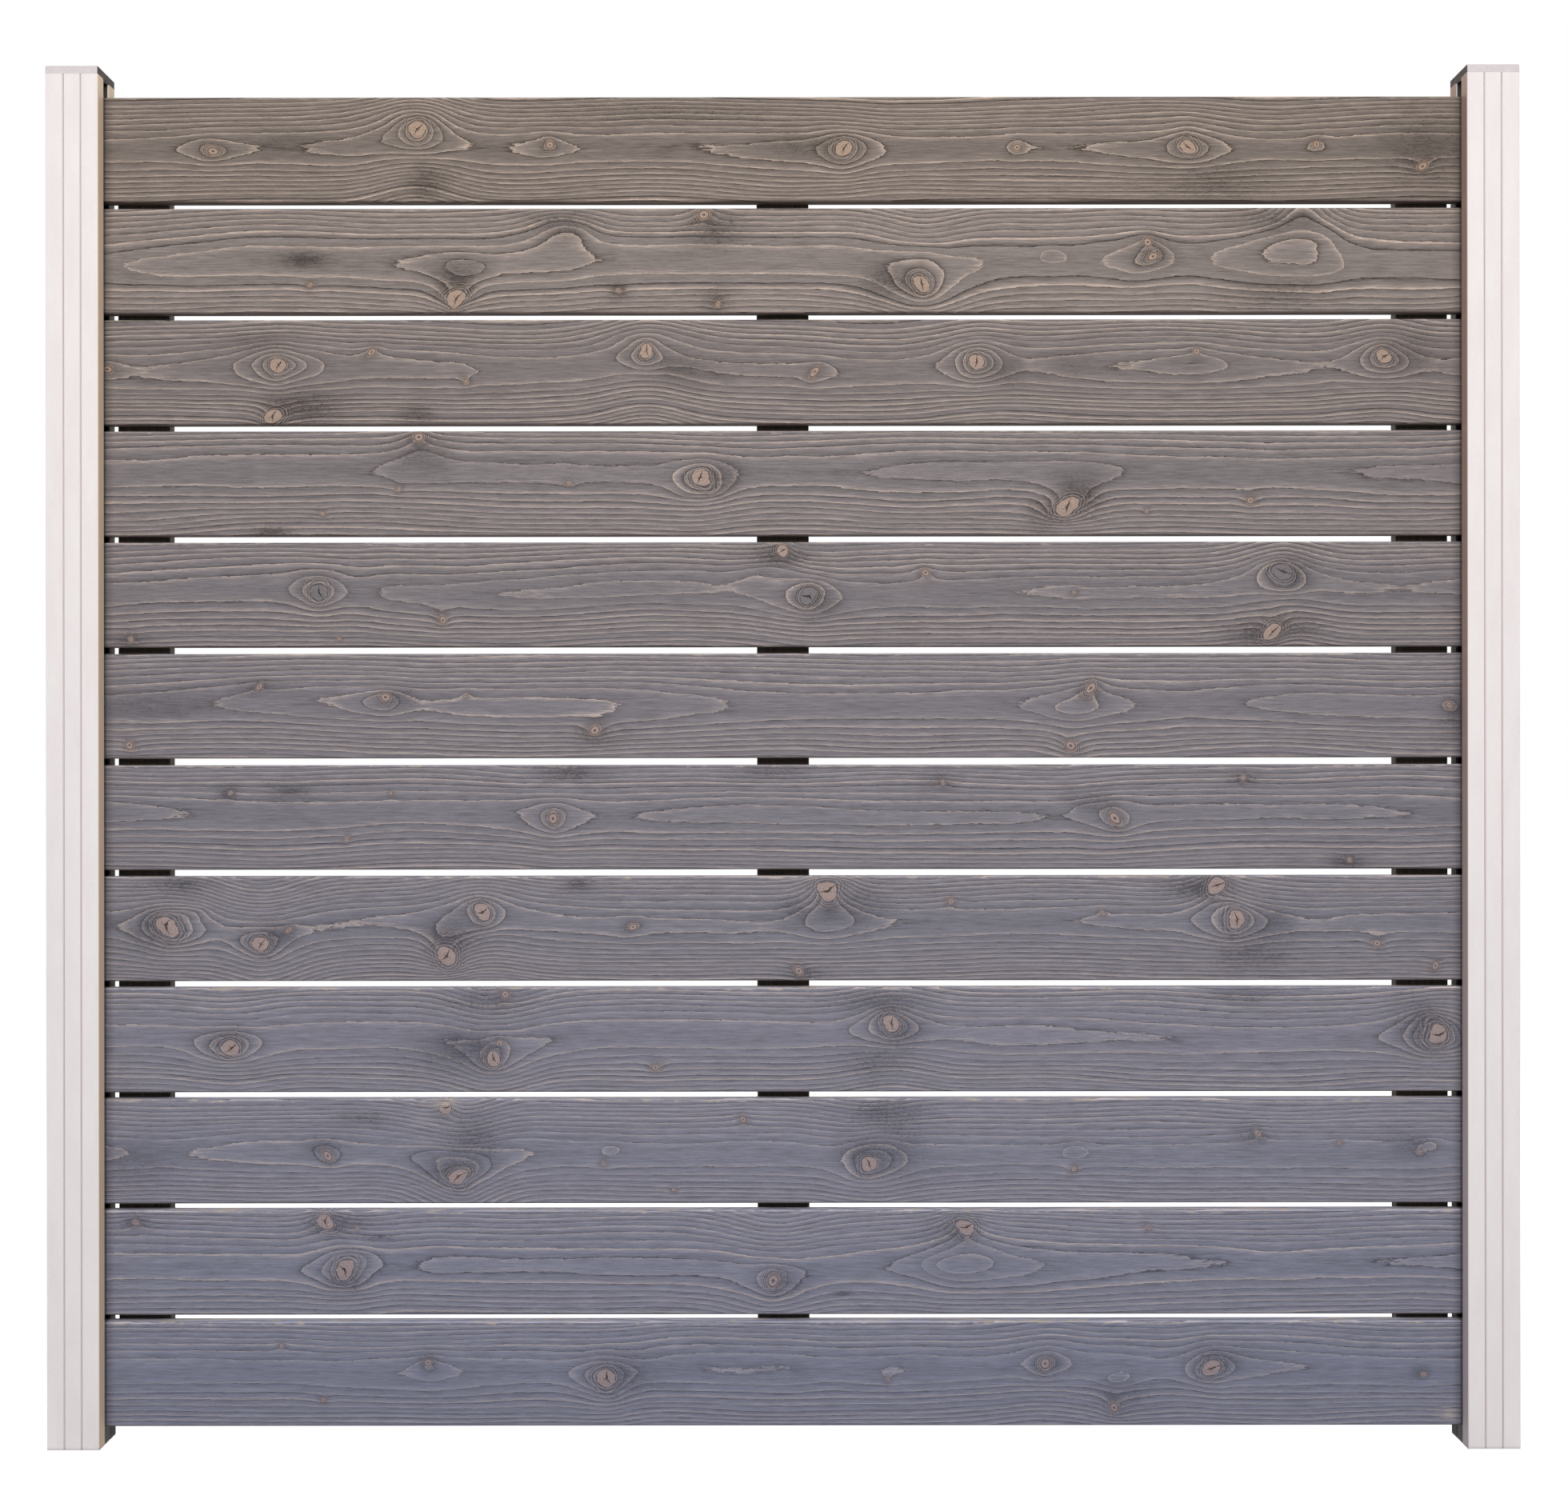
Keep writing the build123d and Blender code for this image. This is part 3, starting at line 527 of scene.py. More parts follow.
class BoardWood(Tree):
    """Grey-stained, brushed softwood: pale ring edges, dark hollows behind them, fibres, flecks and knots."""

    def __init__(self, number):
        super().__init__(f"board_wood_{number:02d}")
        self.seed = SHADER_SEED * number
        self.shade = (number - 1) / (BOARD_COUNT - 1)
        self.body = self.stained(BODY, BOARDS[number - 1]["tone"])
        self.pale = self.stained(PALE)
        self.dusk = self.stained(DUSK)
        self.point = self.place((0.0, BOARD_FRONT, board_middle(number)))
        self.fibre = self.noise(self.point, (0.03, 0.4, 0.55), 3.0, 0.68, (self.seed, 0.0, 0.0))
        self.streak = self.noise(self.point, (0.006, 0.03, 0.24), 3.0, 0.6, (self.seed, 5.0, 0.0))
        self.fleck = self.noise(self.point, (0.20, 0.3, 0.7), 2.0, 0.6, (0.0, self.seed, 0.0))
        self.ragged = self.noise(self.point, (0.05, 0.1, 0.2), 2.0, 0.6, (0.0, 0.0, self.seed))
        self.stain = self.attribute("stain", "Fac")
        self.rest, self.slope, self.turn = self.split(self.attribute("grain"))
        knot = self.attribute("knot")
        self.knot_depth = self.split(knot)[2]
        self.knot_away = self.vector("LENGTH", self.vector("MULTIPLY", knot, (1.0, 1.0, 0.0)))
        # The place from the nearest knot in its radii, and the distance with a ragged outline
        self.knot_place = self.vector("MULTIPLY", knot, (KNOT_SPREAD_ALONG, KNOT_SPREAD_UP, 0.0))
        self.core = self.math("MULTIPLY_ADD", self.ragged, 0.10, self.vector("LENGTH", self.knot_place))

    def stained(self, colours, tone=1.0):
        """A colour between the top board's and the bottom one's."""
        top, bottom = colours
        return tuple(tone * (a + (b - a) * self.shade) for a, b in zip(top, bottom)) + (1.0,)

    def ring_lines(self):
        """The growth rings, pulled in round the nearest knot: their phase, light edges and dark hollows."""
        m = self.math
        pull = m("MULTIPLY", self.knot_depth, m("EXPONENT", m("MULTIPLY", self.knot_away, -1.0)))
        jag = m("MULTIPLY_ADD", self.ragged, 0.13, m("MULTIPLY", self.fibre, 0.12))
        rings = m("SUBTRACT", m("ADD", jag, self.rest), pull)
        phase = m("FRACT", rings)
        which = m("SUBTRACT", rings, phase)
        steep = m("MINIMUM", m("MULTIPLY_ADD", pull, 0.45, m("MAXIMUM", self.slope, 0.16)), 1.3)
        vigour = m("ADD", self.wander(m("MULTIPLY_ADD", which, 0.77, self.seed)),
                   m("MULTIPLY_ADD", self.ragged, 0.4, 0.80))
        inside = m("DIVIDE", m("SUBTRACT", 1.0, phase), steep)
        outside = m("DIVIDE", phase, steep)
        light = m("MULTIPLY", m("EXPONENT", m("MULTIPLY", inside, -3.3)), vigour)
        dark = m("MULTIPLY", m("EXPONENT", m("MULTIPLY", outside, -4.0)), vigour)
        return phase, light, dark

    def ringed_colour(self, phase, light, dark):
        """The colour of the rings, with fibres, smudges and torn flecks."""
        m = self.math
        halo = m("MULTIPLY", self.step(self.core, 2.8, 1.0), 0.35)
        patchy = m("MULTIPLY_ADD", self.streak, 0.8, m("MULTIPLY_ADD", self.ragged, 0.5, 0.9))
        soil = m("MULTIPLY", m("MAXIMUM", m("ADD", self.stain, halo), 0.0), patchy, clamp=True)
        torn = m("MULTIPLY", self.step(m("MULTIPLY_ADD", soil, 0.35, self.fleck), 0.16, 0.42),
                 m("MULTIPLY_ADD", soil, 0.9, m("MULTIPLY_ADD", dark, 0.8, 0.26)), clamp=True)
        colour = self.mix(m("MULTIPLY", light, 0.78 - 0.18 * self.shade, clamp=True), self.body, self.pale)
        colour = self.mix(m("MULTIPLY", dark, 0.86 - 0.44 * self.shade, clamp=True), colour, self.dusk)
        grey = m("MULTIPLY_ADD", self.streak, 0.30, m("MULTIPLY_ADD", phase, 0.22, 0.90))
        grey = m("MULTIPLY_ADD", self.fibre, 0.66 - 0.16 * self.shade, grey)
        grey = m("MULTIPLY", grey, m("MULTIPLY_ADD", soil, -0.60 + 0.16 * self.shade, 1.0))
        return self.mix(m("MULTIPLY", torn, 0.72), self.dim(colour, grey), self.dusk)

    def knotted_colour(self, colour, crack, has_crack):
        """The knots: fine rings round an end-grain disc with a dark rim, and cracks or a small pith."""
        m, core = self.math, self.core
        collar = m("SINE", m("MULTIPLY_ADD", core, 20.0, m("MULTIPLY", self.ragged, 2.5)))
        near = m("MULTIPLY", self.step(core, 2.3, 1.2), m("MULTIPLY_ADD", self.ragged, 0.5, 0.34))
        colour = self.mix(m("MULTIPLY", near, self.step(collar, 0.1, 0.9), clamp=True), colour, self.dusk)
        colour = self.mix(m("MULTIPLY", near, self.step(collar, -0.3, -0.95), clamp=True), colour, self.pale)
        weathered = self.step(self.turn, -0.05, -0.15)
        tan = self.mix(weathered, self.stained(TAN), self.body)
        tan = self.dim(tan, m("MULTIPLY_ADD", self.fibre, 0.35, m("MULTIPLY_ADD", collar, -0.07, 0.98)))
        colour = self.mix(m("MULTIPLY", self.step(core, 1.1, 0.86), 0.92), colour, tan)
        rim = self.step(m("ABSOLUTE", m("SUBTRACT", core, 1.0)), 0.15, 0.05)
        rim = m("MULTIPLY", rim, self.step(self.ragged, -0.3, 0.3))
        pith = self.step(m("ABSOLUTE", m("SUBTRACT", core, 0.72)), 0.17, 0.06)
        pith = m("MAXIMUM", m("MULTIPLY", pith, 0.8), self.step(core, 0.3, 0.12))
        pith = m("MULTIPLY", pith, m("SUBTRACT", 1.0, has_crack))
        colour = self.mix(m("MAXIMUM", m("MULTIPLY", rim, 0.7), m("MULTIPLY", pith, 0.9)), colour, self.dusk)
        return self.mix(m("MULTIPLY", crack, 0.9), colour, CRACK_COLOUR)

    def crack_lines(self, has_crack):
        """The drying cracks that run out from a knot's middle."""
        m, turn = self.math, self.turn
        knot_x, knot_z, _ = self.split(self.knot_place)
        bend = m("MULTIPLY_ADD", self.ragged, 0.2, m("MULTIPLY", self.fleck, 0.08))
        crack = 0.0
        for lead, sway, pace, reach, width in CRACKS:
            angle = m("ADD", m("MULTIPLY_ADD", m("SINE", m("MULTIPLY", turn, pace)), sway, lead), turn)
            cosine, sine = m("COSINE", angle), m("SINE", angle)
            out = m("MULTIPLY_ADD", knot_x, cosine, m("MULTIPLY", knot_z, sine))
            aside = m("SUBTRACT", m("MULTIPLY_ADD", knot_z, cosine, bend), m("MULTIPLY", knot_x, sine))
            room = m("SUBTRACT", m("MULTIPLY_ADD", out, -width / reach, width), m("ABSOLUTE", aside))
            arm = m("MULTIPLY", m("MULTIPLY", room, 16.0, clamp=True), self.step(out, -0.08, 0.04))
            crack = m("MAXIMUM", crack, arm)
        return m("MULTIPLY", crack, has_crack)

    def edged_colour(self, colour):
        """Painted highlight on the upper edge, painted shade on the lower one, wood worn bare, and painted
        shadow at the ends in the posts.
        """
        m = self.math
        sideways, _, high = self.split(self.point)
        # Painted highlight: the upper edge and top face lightened, more on the lower boards
        upper_highlight = m("MULTIPLY_ADD", self.step(high, 67.6, 68.4), 0.2 + 0.6 * self.shade, 1.0)
        colour = self.dim(colour, upper_highlight)
        # Painted shade: the lower edge darkened towards brown
        colour = self.mix(m("MULTIPLY", self.step(high, -67.8, -68.6), 0.55), colour, LOWER_EDGE_SHADE_COLOUR)
        worn = self.step(m("ADD", self.streak, self.ragged), 0.10, 0.45)
        rub = m("MULTIPLY", m("MULTIPLY", self.step(high, 63.5, 68.0), worn), 0.25 + 0.55 * self.shade)
        bare = m("MULTIPLY", m("MULTIPLY", self.stain, -1.0), self.step(self.fibre, -0.15, 0.2), clamp=True)
        colour = self.mix(m("MAXIMUM", rub, bare), colour, BARE_WOOD_COLOUR)
        # Painted shadow: darker at the ends where the boards run into the posts
        end = m("ABSOLUTE", sideways)
        end_shadow = m("MULTIPLY", self.step(end, 904.5, 907.5), 0.35)
        end_shadow = m("MULTIPLY_ADD", self.step(end, 893.0, 909.0), 0.45, end_shadow)
        return self.mix(end_shadow, colour, END_SHADOW_COLOUR)


def board_material(number):
    """One board's wood."""
    wood = BoardWood(number)
    m = wood.math
    phase, light, dark = wood.ring_lines()
    has_crack = wood.step(m("ABSOLUTE", wood.turn), 0.05, 0.15)
    crack = wood.crack_lines(has_crack)
    colour = wood.ringed_colour(phase, light, dark)
    colour = wood.edged_colour(wood.knotted_colour(colour, crack, has_crack))
    roughness = m("MULTIPLY_ADD", light, -0.10, m("MULTIPLY_ADD", wood.fibre, 0.06, 0.76))
    height = m("MULTIPLY_ADD", light, 0.5, m("MULTIPLY_ADD", dark, -0.6, m("MULTIPLY", wood.fibre, 0.3)))
    height = m("MULTIPLY_ADD", crack, -1.5, height)
    return wood.finish(colour, roughness, height, 0.0006, specular=0.1)


def mesh_object(name, verts, faces, material):
    """Adds a mesh to the scene."""
    mesh = bpy.data.meshes.new(name)
    mesh.from_pydata(verts, [], faces)
    mesh.update()
    piece = bpy.data.objects.new(name, mesh)
    bpy.context.collection.objects.link(piece)
    mesh.materials.append(material)
    return piece


def smooth(mesh, degrees):
    """Shades a mesh smooth, but for edges that bend by more than this angle."""
    mesh.polygons.foreach_set("use_smooth", np.ones(len(mesh.polygons), dtype=bool))
    mesh.set_sharp_from_angle(angle=math.radians(degrees))


def sweep(outline, positions, axis):
    """A closed skin that takes an outline to each position along an axis, with both ends capped."""
    count = len(outline)
    verts = []
    for s in positions:
        for p, q in outline:
            verts.append((s, p, q) if axis == "X" else (p, q, s))
    faces = []
    for i in range(len(positions) - 1):
        for j in range(count):
            k = (j + 1) % count
            faces.append((i * count + j, i * count + k, (i + 1) * count + k, (i + 1) * count + j))
    faces.append(tuple(reversed(range(count))))
    faces.append(tuple((len(positions) - 1) * count + j for j in range(count)))
    return verts, faces


# The points across and along a board's face, and the bend of its eased edge in shares of the edge
BOARD_ROWS = 39
BOARD_COLUMNS = 308
BOARD_EASE = ((0.35, 0.45), (1.0, 1.0))

# Half the face's unevenness in metres, the share of it that a knot takes away, and what counts as on the face
BOARD_RELIEF = 0.00015
KNOT_PROUD = 0.8
TOUCH = 1e-6


def make_board(number):
    """A board with eased edges, a slightly uneven brushed face and swellings at its knots."""
    half, c = BOARD_HEIGHT / 2, BOARD_EDGE
    front, back = BOARD_FRONT, BOARD_BACK
    rows = np.linspace(-half + c, half - c, BOARD_ROWS)
    outline = [(front, z) for z in rows]
    outline += [(front + c * p, half - c + c * q) for p, q in BOARD_EASE]
    outline += [(back - c * p, half - c + c * q) for p, q in BOARD_EASE[::-1]]
    outline += [(back, z) for z in rows[::-2]]
    outline += [(back - c * p, -half + c - c * q) for p, q in BOARD_EASE]
    outline += [(front + c * p, -half + c - c * q) for p, q in BOARD_EASE[::-1]]
    positions = np.linspace(-BOARD_LENGTH / 2, BOARD_LENGTH / 2, BOARD_COLUMNS)
    verts, faces = sweep(outline, positions, "X")
    verts = np.array(verts)
    along, deep, up = MM * verts[:, 0], MM * (verts[:, 1] - front), MM * verts[:, 2]
    grain, knot, swell, stain = board_grain(number, along, deep, up, faces)
    uneven = 1 + field_noise(number + FACE_SEED, along, up, FACE_PATCH)
    relief = BOARD_RELIEF * uneven * (1 - KNOT_PROUD * swell)
    on_front = verts[:, 1] < front + TOUCH
    on_back = verts[:, 1] > back - TOUCH
    verts[on_front, 1] += relief[on_front]
    verts[on_back, 1] -= relief[on_back]
    verts[:, 2] += board_middle(number)
    piece = mesh_object(f"board_face_{number:02d}", verts.tolist(), faces, board_material(number))
    mesh = piece.data
    mesh.attributes.new("grain", "FLOAT_VECTOR", "CORNER").data.foreach_set("vector", grain.ravel())
    mesh.attributes.new("knot", "FLOAT_VECTOR", "CORNER").data.foreach_set("vector", knot.ravel())
    mesh.attributes.new("stain", "FLOAT", "POINT").data.foreach_set("value", stain)
    smooth(mesh, 15)
    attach(piece, "root")
    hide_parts(f"board_{number:02d}")


for board_number in range(1, BOARD_COUNT + 1):
    make_board(board_number)


def batten_material():
    """Dark-stained sawn softwood with upright grain."""
    tree = Tree("batten_wood")
    m = tree.math
    point = tree.place()
    grain = tree.noise(point, (0.32, 0.32, 0.006), 4.0, 0.62, distortion=0.4)
    fine = tree.noise(point, (1.7, 1.7, 0.03), 3.0, 0.6)
    slow = tree.noise(point, (0.02, 0.02, 0.002), 2.0, 0.5)
    colour = tree.mix(tree.step(grain, -0.5, 0.5), (0.030, 0.024, 0.019, 1.0), (0.082, 0.064, 0.048, 1.0))
    colour = tree.dim(colour, m("MULTIPLY_ADD", fine, 0.3, m("MULTIPLY_ADD", slow, 0.2, 1.0)))
    roughness = m("MULTIPLY_ADD", grain, 0.08, 0.78)
    return tree.finish(colour, roughness, m("MULTIPLY_ADD", fine, 0.4, grain), 0.0005, specular=0.25)


# The middle of a batten's eased edge, as a share of the edge, and the points up a batten
BATTEN_EASE = 0.3
BATTEN_ROWS = 60


def make_batten(name, material):
    """An upright batten with eased edges."""
    x, w = BATTEN_X[name], BATTEN_WIDTH / 2
    c, e = BATTEN_EDGE, BATTEN_EASE * BATTEN_EDGE
    front, back = BOARD_BACK, BATTEN_BACK
    outline = [(x - w + c, front), (x + w - c, front), (x + w - e, front + e), (x + w, front + c),
               (x + w, back - c), (x + w - e, back - e), (x + w - c, back), (x - w + c, back),
               (x - w + e, back - e), (x - w, back - c), (x - w, front + c), (x - w + e, front + e)]
    low = GROUND_GAP + BATTEN_SETBACK
    positions = np.linspace(low, low + PANEL_HEIGHT - 2 * BATTEN_SETBACK, BATTEN_ROWS)
    verts, faces = sweep(outline, positions, "Z")
    piece = mesh_object(f"batten_wood_{name}", verts, faces, material)
    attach(piece, "root")
    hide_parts(f"batten_{name}")


batten_wood = batten_material()
for batten_name in BATTEN_X:
    make_batten(batten_name, batten_wood)

# Colours of the posts: two shades of the coat, its seams and foot, the painted shade on the inner sides, and
# the painted shade in the slots
COAT_SHADES = ((0.857, 0.806, 0.800, 1.0), (0.900, 0.857, 0.852, 1.0))
SEAM_COLOUR = (0.58, 0.48, 0.45, 1.0)
FOOT_COLOUR = (0.30, 0.27, 0.25, 1.0)
LEFT_SIDE_PAINTED_SHADE = ((0.80, 0.625, 0.44, 1.0), (0.92, 0.88, 0.80, 1.0))
RIGHT_SIDE_PAINTED_SHADE = ((0.56, 0.48, 0.48, 1.0), (0.40, 0.262, 0.205, 1.0))
SLOT_SHADE_COLOUR = (0.05, 0.042, 0.036, 1.0)


def coat_material():
    """Off-white powder coat: fine texture, mottling, darker seams, and painted shade on the sides towards the
    boards and in the slots.
    """
    tree = Tree("post_powder_coat")
    m = tree.math
    point = tree.place()
    across, y, z = tree.split(point)
    x, deep = m("ABSOLUTE", across), m("ABSOLUTE", y)
    grit = tree.noise(point, (0.7, 0.7, 0.7), 3.0, 0.62)
    cloud = tree.noise(point, (0.05, 0.05, 0.012), 3.0, 0.55)
    colour = tree.mix(tree.step(cloud, -0.6, 0.6), *COAT_SHADES)
    colour = tree.dim(colour, m("MULTIPLY_ADD", grit, 0.06, 0.99))

    # The seams beside the cover strips, on the front and back and on the outer side
    aside = m("ABSOLUTE", m("SUBTRACT", x, POST_MIDDLE))
    seam_x = m("MULTIPLY", tree.step(m("ABSOLUTE", m("SUBTRACT", aside, SEAM)), 1.6, 1.0),
               tree.step(deep, POST_HALF - 2.0, POST_HALF - 1.0))
    seam_y = m("MULTIPLY", tree.step(m("ABSOLUTE", m("SUBTRACT", deep, SEAM)), 1.6, 1.0),
               tree.step(x, POST_MIDDLE + POST_HALF - 2.0, POST_MIDDLE + POST_HALF - 1.0))
    seam = m("MULTIPLY", m("MAXIMUM", seam_x, seam_y), m("MULTIPLY_ADD", cloud, 0.25, 0.55))
    colour = tree.mix(seam, colour, SEAM_COLOUR)

    # The inner sides get painted shade: beige and speckled on the left, brown and greyer towards the foot on
    # the right
    side = tree.step(x, FIELD_HALF + 1.3, FIELD_HALF + 0.5)
    left_side_shade = tree.mix(tree.step(grit, 0.38, 0.5), *LEFT_SIDE_PAINTED_SHADE)
    right_side_shade = tree.mix(tree.step(z, 200.0, 1300.0), *RIGHT_SIDE_PAINTED_SHADE)
    colour = tree.mix(m("MULTIPLY", side, 0.9), colour, tree.mix(tree.step(across, -1.0, 1.0), left_side_shade, right_side_shade))

    # Painted shade: dark behind the boards, inside the slots and on the lips below the boards
    behind = tree.step(y, 6.0, 11.0)
    in_slot = tree.step(x, SLOT_FLOOR + 2.0, SLOT_FLOOR + 1.0)
    shut = m("MULTIPLY", m("MULTIPLY", in_slot, behind), tree.step(z, PANEL_TOP + 2.0, PANEL_TOP - 6.0))
    shut = m("MULTIPLY", shut, tree.step(y, POST_HALF - 0.2, POST_HALF - 0.8))
    colour = tree.mix(m("MULTIPLY", shut, 0.93), colour, SLOT_SHADE_COLOUR)
    slot = m("MULTIPLY", tree.step(x, FIELD_HALF + 1.5, FIELD_HALF + 3.0), in_slot)
    slot = m("MULTIPLY", slot, tree.step(deep, 16.5, 15.5))
    colour = tree.mix(m("MULTIPLY", slot, 0.93), colour, SLOT_SHADE_COLOUR)
    lip = m("MULTIPLY", m("MULTIPLY", side, behind), tree.step(z, 27.0, 24.0))
    colour = tree.mix(m("MULTIPLY", lip, 0.9), colour, SLOT_SHADE_COLOUR)

    colour = tree.mix(m("MULTIPLY", tree.step(z, 5.0, 0.5), 0.3), colour, FOOT_COLOUR)
    return tree.finish(colour, m("MULTIPLY_ADD", grit, 0.08, 0.6), grit, 0.00012, specular=0.05)


def cap_material():
    """Moulded grey plastic, mottled and matt, with painted shade in dark brown on the side that faces the
    boards.
    """
    tree = Tree("cap_plastic")
    m = tree.math
    point = tree.place()
    x = m("ABSOLUTE", tree.split(point)[0])
    grain = tree.noise(point, (0.9, 0.9, 0.9), 3.0, 0.65)
    cloud = tree.noise(point, (0.12, 0.12, 0.12), 3.0, 0.6)
    # Painted shade: the side that faces the boards is darkened to a dark brown
    side = tree.step(x, FIELD_HALF + 1.3, FIELD_HALF + 0.4)
    side = m("MULTIPLY", side, m("MULTIPLY_ADD", cloud, 0.05, 0.95))
    colour = tree.mix(side, (0.70, 0.65, 0.655, 1.0), (0.040, 0.026, 0.019, 1.0))
    colour = tree.dim(colour, m("MULTIPLY_ADD", grain, 0.14, m("MULTIPLY_ADD", cloud, 0.12, 1.0)))
    return tree.finish(colour, m("MULTIPLY_ADD", cloud, 0.1, 0.6), grain, 0.00015, specular=0.04)


def spacer_material():
    """Black moulded plastic with a fine spark-eroded texture and faint scuffs."""
    tree = Tree("spacer_plastic")
    m = tree.math
    point = tree.place()
    grain = tree.noise(point, (2.2, 2.2, 2.2), 2.0, 0.6)
    cloud = tree.noise(point, (0.16, 0.16, 0.16), 3.0, 0.6)
    shade = m("MULTIPLY_ADD", grain, 0.05, m("MULTIPLY_ADD", cloud, 0.08, 1.0))
    colour = tree.dim((0.020, 0.019, 0.020, 1.0), shade)
    return tree.finish(colour, m("MULTIPLY_ADD", cloud, 0.1, 0.7), grain, 0.0001, specular=0.4)


def steel_material():
    """Plain steel screws with fine turning marks."""
    tree = Tree("screw_steel")
    mark = tree.noise(tree.place(), (3.0, 3.0, 3.0), 3.0, 0.6)
    colour = tree.mix(tree.step(mark, -0.5, 0.6), (0.42, 0.41, 0.39, 1.0), (0.62, 0.61, 0.58, 1.0))
    tree.shader.inputs["Metallic"].default_value = 1.0
    return tree.finish(colour, tree.math("MULTIPLY_ADD", mark, 0.1, 0.38), mark, 0.00005)


# A screw in metres: its sides, how far its head stands out, its six-lobed recess with a bevelled floor, the
# radius and depth of each step from the head to the point, and how far it is turned for each vertex before it
SCREW_SIDES = 24
SCREW_PROUD = 0.0002
RECESS_RADIUS = 0.00165
RECESS_LOBE = 0.00035
RECESS_STEPS = ((0.75, 0.0017), (1.0, 0.0015), (1.0, 0.0))
SCREW_STEPS = ((0.0036, 0.0), (0.0040, 0.0003), (0.0020, 0.0024), (0.0019, 0.031), (0.0003, 0.0378))
SCREW_SPIN = 0.7


def make_screws(name, material):
    """Countersunk screws, two into each board, with a rounded head and a six-lobed drive recess."""
    spokes = np.linspace(0.0, 2 * math.pi, SCREW_SIDES, endpoint=False)
    lobes = RECESS_RADIUS + RECESS_LOBE * np.cos(6 * spokes)
    rings = [(share * lobes, depth) for share, depth in RECESS_STEPS]
    rings += [(radius * np.ones(SCREW_SIDES), depth) for radius, depth in SCREW_STEPS]
    top = BATTEN_BACK + SCREW_PROUD
    verts, faces = [], []
    for number in range(1, BOARD_COUNT + 1):
        for row in (-0.5, 0.5):
            z = board_middle(number) + row * SCREW_SPACING
            first = len(verts)
            for radii, depth in rings:
                for radius, angle in zip(radii, spokes + SCREW_SPIN * first):
                    x = BATTEN_X[name] + radius * math.cos(angle)
                    verts.append((x, top - depth, z + radius * math.sin(angle)))
            for i in range(len(rings) - 1):
                low, high = first + i * SCREW_SIDES, first + (i + 1) * SCREW_SIDES
                for j in range(SCREW_SIDES):
                    k = (j + 1) % SCREW_SIDES
                    faces.append((low + j, low + k, high + k, high + j))
            last = first + (len(rings) - 1) * SCREW_SIDES
            faces.append(tuple(first + j for j in reversed(range(SCREW_SIDES))))
            faces.append(tuple(last + j for j in range(SCREW_SIDES)))
    piece = mesh_object(f"screws_{name}", verts, faces, material)
    smooth(piece.data, 30)
    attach(piece, "root")
    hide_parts(f"batten_screws_{name}")


def dress(node, material):
    """Gives a CAD node that keeps its shape a finished material."""
    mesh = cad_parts[node].data
    mesh.materials.clear()
    mesh.materials.append(material)


coat = coat_material()
cap_plastic = cap_material()
spacer_plastic = spacer_material()
steel = steel_material()
for end in ("left", "right"):
    dress(f"post_{end}", coat)
    for face in ("front", "back", "outer"):
        dress(f"cover_strip_{end}_{face}", coat)
    dress(f"post_cap_{end}", cap_plastic)
    dress(f"slot_spacer_{end}", spacer_plastic)
for batten_name in BATTEN_X:
    make_screws(batten_name, steel)

FLOOR_HALF = 30.0
FLOOR_COLOUR = (0.70, 0.74, 0.84, 1.0)
FLOOR_GLOW = 0.78
AMBIENT_COLOUR = (1.0, 0.96, 0.92, 1.0)
AMBIENT_STRENGTH = 0.22
WHITE = (1.0, 1.0, 1.0, 1.0)


def split_rays(tree, hidden, shown, output):
    """Gives one shader to the rays that show the background and another to all the rest.

    The background shows straight to the camera, in a mirror and through glass.
    """
    nodes, links = tree.nodes, tree.links
    rays = nodes.new("ShaderNodeLightPath")
    total = rays.outputs["Is Camera Ray"]
    for kind in ("Is Glossy Ray", "Is Transmission Ray"):
        larger = nodes.new("ShaderNodeMath")
        larger.operation = "MAXIMUM"
        links.new(total, larger.inputs[0])
        links.new(rays.outputs[kind], larger.inputs[1])
        total = larger.outputs[0]
    mix = nodes.new("ShaderNodeMixShader")
    links.new(total, mix.inputs[0])
    links.new(hidden.outputs[0], mix.inputs[1])
    links.new(shown.outputs[0], mix.inputs[2])
    links.new(mix.outputs[0], nodes[output].inputs["Surface"])


def make_floor():
    """A pale floor that runs out to white and keeps a soft shadow."""
    corners = [(-FLOOR_HALF, -FLOOR_HALF, 0), (FLOOR_HALF, -FLOOR_HALF, 0), (FLOOR_HALF, FLOOR_HALF, 0),
               (-FLOOR_HALF, FLOOR_HALF, 0)]
    material = bpy.data.materials.new("floor")
    floor = mesh_object("floor", corners, [(0, 1, 2, 3)], material)
    material.use_nodes = True
    tree = material.node_tree
    plain = tree.nodes["Principled BSDF"]
    plain.inputs["Base Color"].default_value = FLOOR_COLOUR
    plain.inputs["Roughness"].default_value = 0.9
    glow = tree.nodes.new("ShaderNodeEmission")
    glow.inputs["Strength"].default_value = FLOOR_GLOW
    lit = tree.nodes.new("ShaderNodeAddShader")
    tree.links.new(plain.outputs[0], lit.inputs[0])
    tree.links.new(glow.outputs[0], lit.inputs[1])
    split_rays(tree, plain, lit, "Material Output")


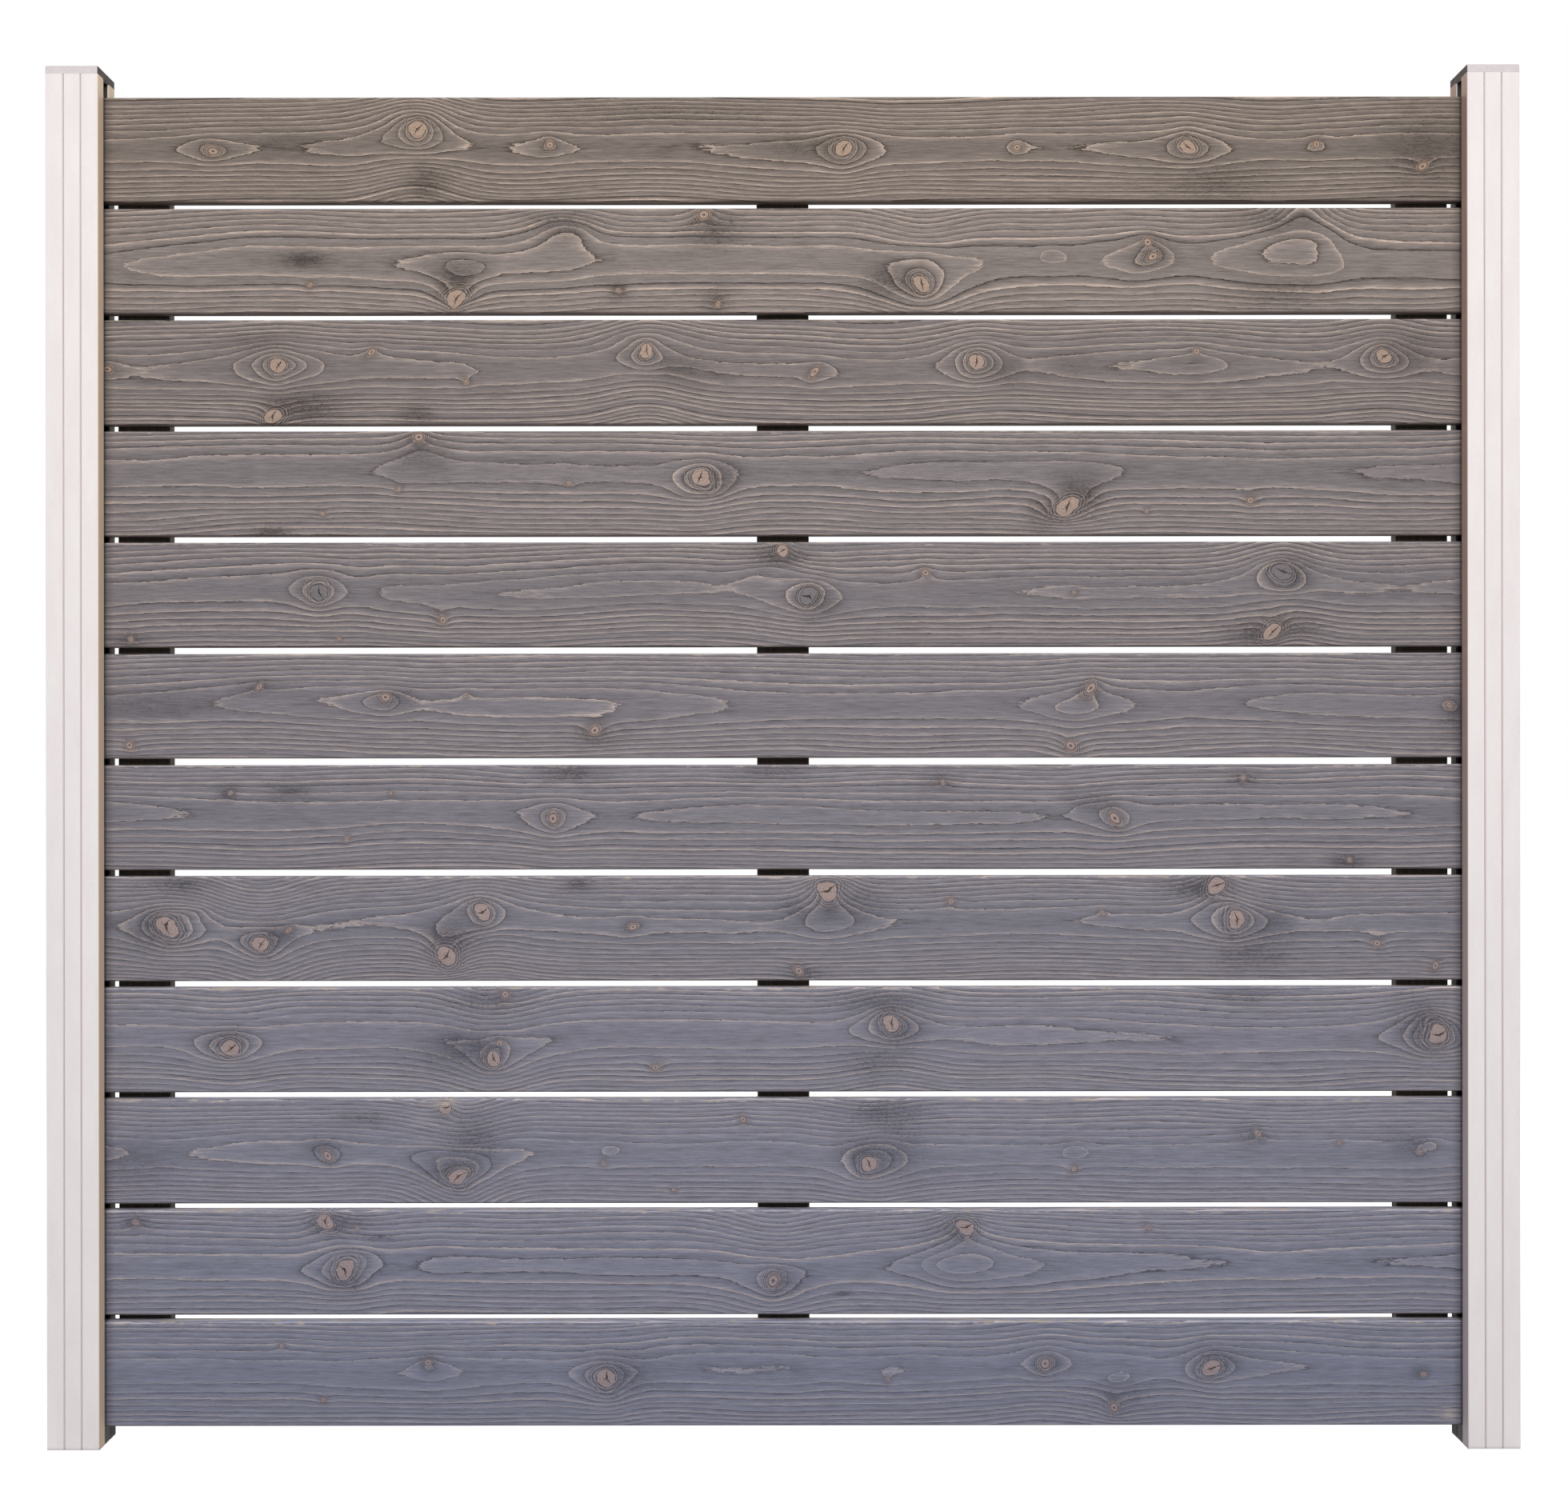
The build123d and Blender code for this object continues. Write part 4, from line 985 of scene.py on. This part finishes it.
def make_world():
    """Soft warm light from all round, in front of a white background."""
    world = bpy.data.worlds.new("studio")
    bpy.context.scene.world = world
    world.use_nodes = True
    tree = world.node_tree
    ambient = tree.nodes["Background"]
    ambient.inputs["Color"].default_value = AMBIENT_COLOUR
    ambient.inputs["Strength"].default_value = AMBIENT_STRENGTH
    white = tree.nodes.new("ShaderNodeBackground")
    white.inputs["Color"].default_value = WHITE
    split_rays(tree, ambient, white, "World Output")


def make_lamp(name, place, target, size, power, colour):
    """A soft rectangular lamp that points at a target."""
    data = bpy.data.lights.new(name, "AREA")
    data.shape = "RECTANGLE"
    data.size, data.size_y = size
    data.energy = power
    data.color = colour
    lamp = bpy.data.objects.new(name, data)
    bpy.context.collection.objects.link(lamp)
    lamp.location = place
    aim = np.array(target) - np.array(place)
    flat = math.hypot(aim[0], aim[1])
    lamp.rotation_euler = (math.atan2(flat, -aim[2]), 0.0, math.atan2(-aim[0], aim[1]))


def make_camera():
    """The photograph's camera."""
    data = bpy.data.cameras.new("camera")
    data.sensor_width = SENSOR_WIDTH
    data.lens = SENSOR_WIDTH * FOCAL_PIXELS / PHOTO_WIDTH_PIXELS
    data.clip_end = 100.0
    camera = bpy.data.objects.new("camera", data)
    bpy.context.collection.objects.link(camera)
    camera.location = EYE
    camera.rotation_euler = (math.pi / 2, ROLL, 0.0)
    bpy.context.scene.camera = camera


make_floor()
make_world()
make_lamp("key", (0.05, -3.3, 2.65), (0.0, 0.0, 0.95), (2.4, 1.6), 108.0, (1.0, 0.975, 0.95))
make_lamp("back", (-0.4, 3.8, 2.4), (0.0, 0.0, 0.9), (3.0, 1.5), 40.0, (1.0, 1.0, 1.0))
make_lamp("side_left", (-3.0, 1.5, 1.9), (-0.95, 0.0, 0.95), (1.2, 1.6), 30.0, (1.0, 0.98, 0.96))
make_lamp("side_right", (3.0, 1.5, 1.9), (0.95, 0.0, 0.95), (1.2, 1.6), 30.0, (1.0, 0.98, 0.96))
make_camera()
bpy.context.scene.view_settings.view_transform = "Standard"
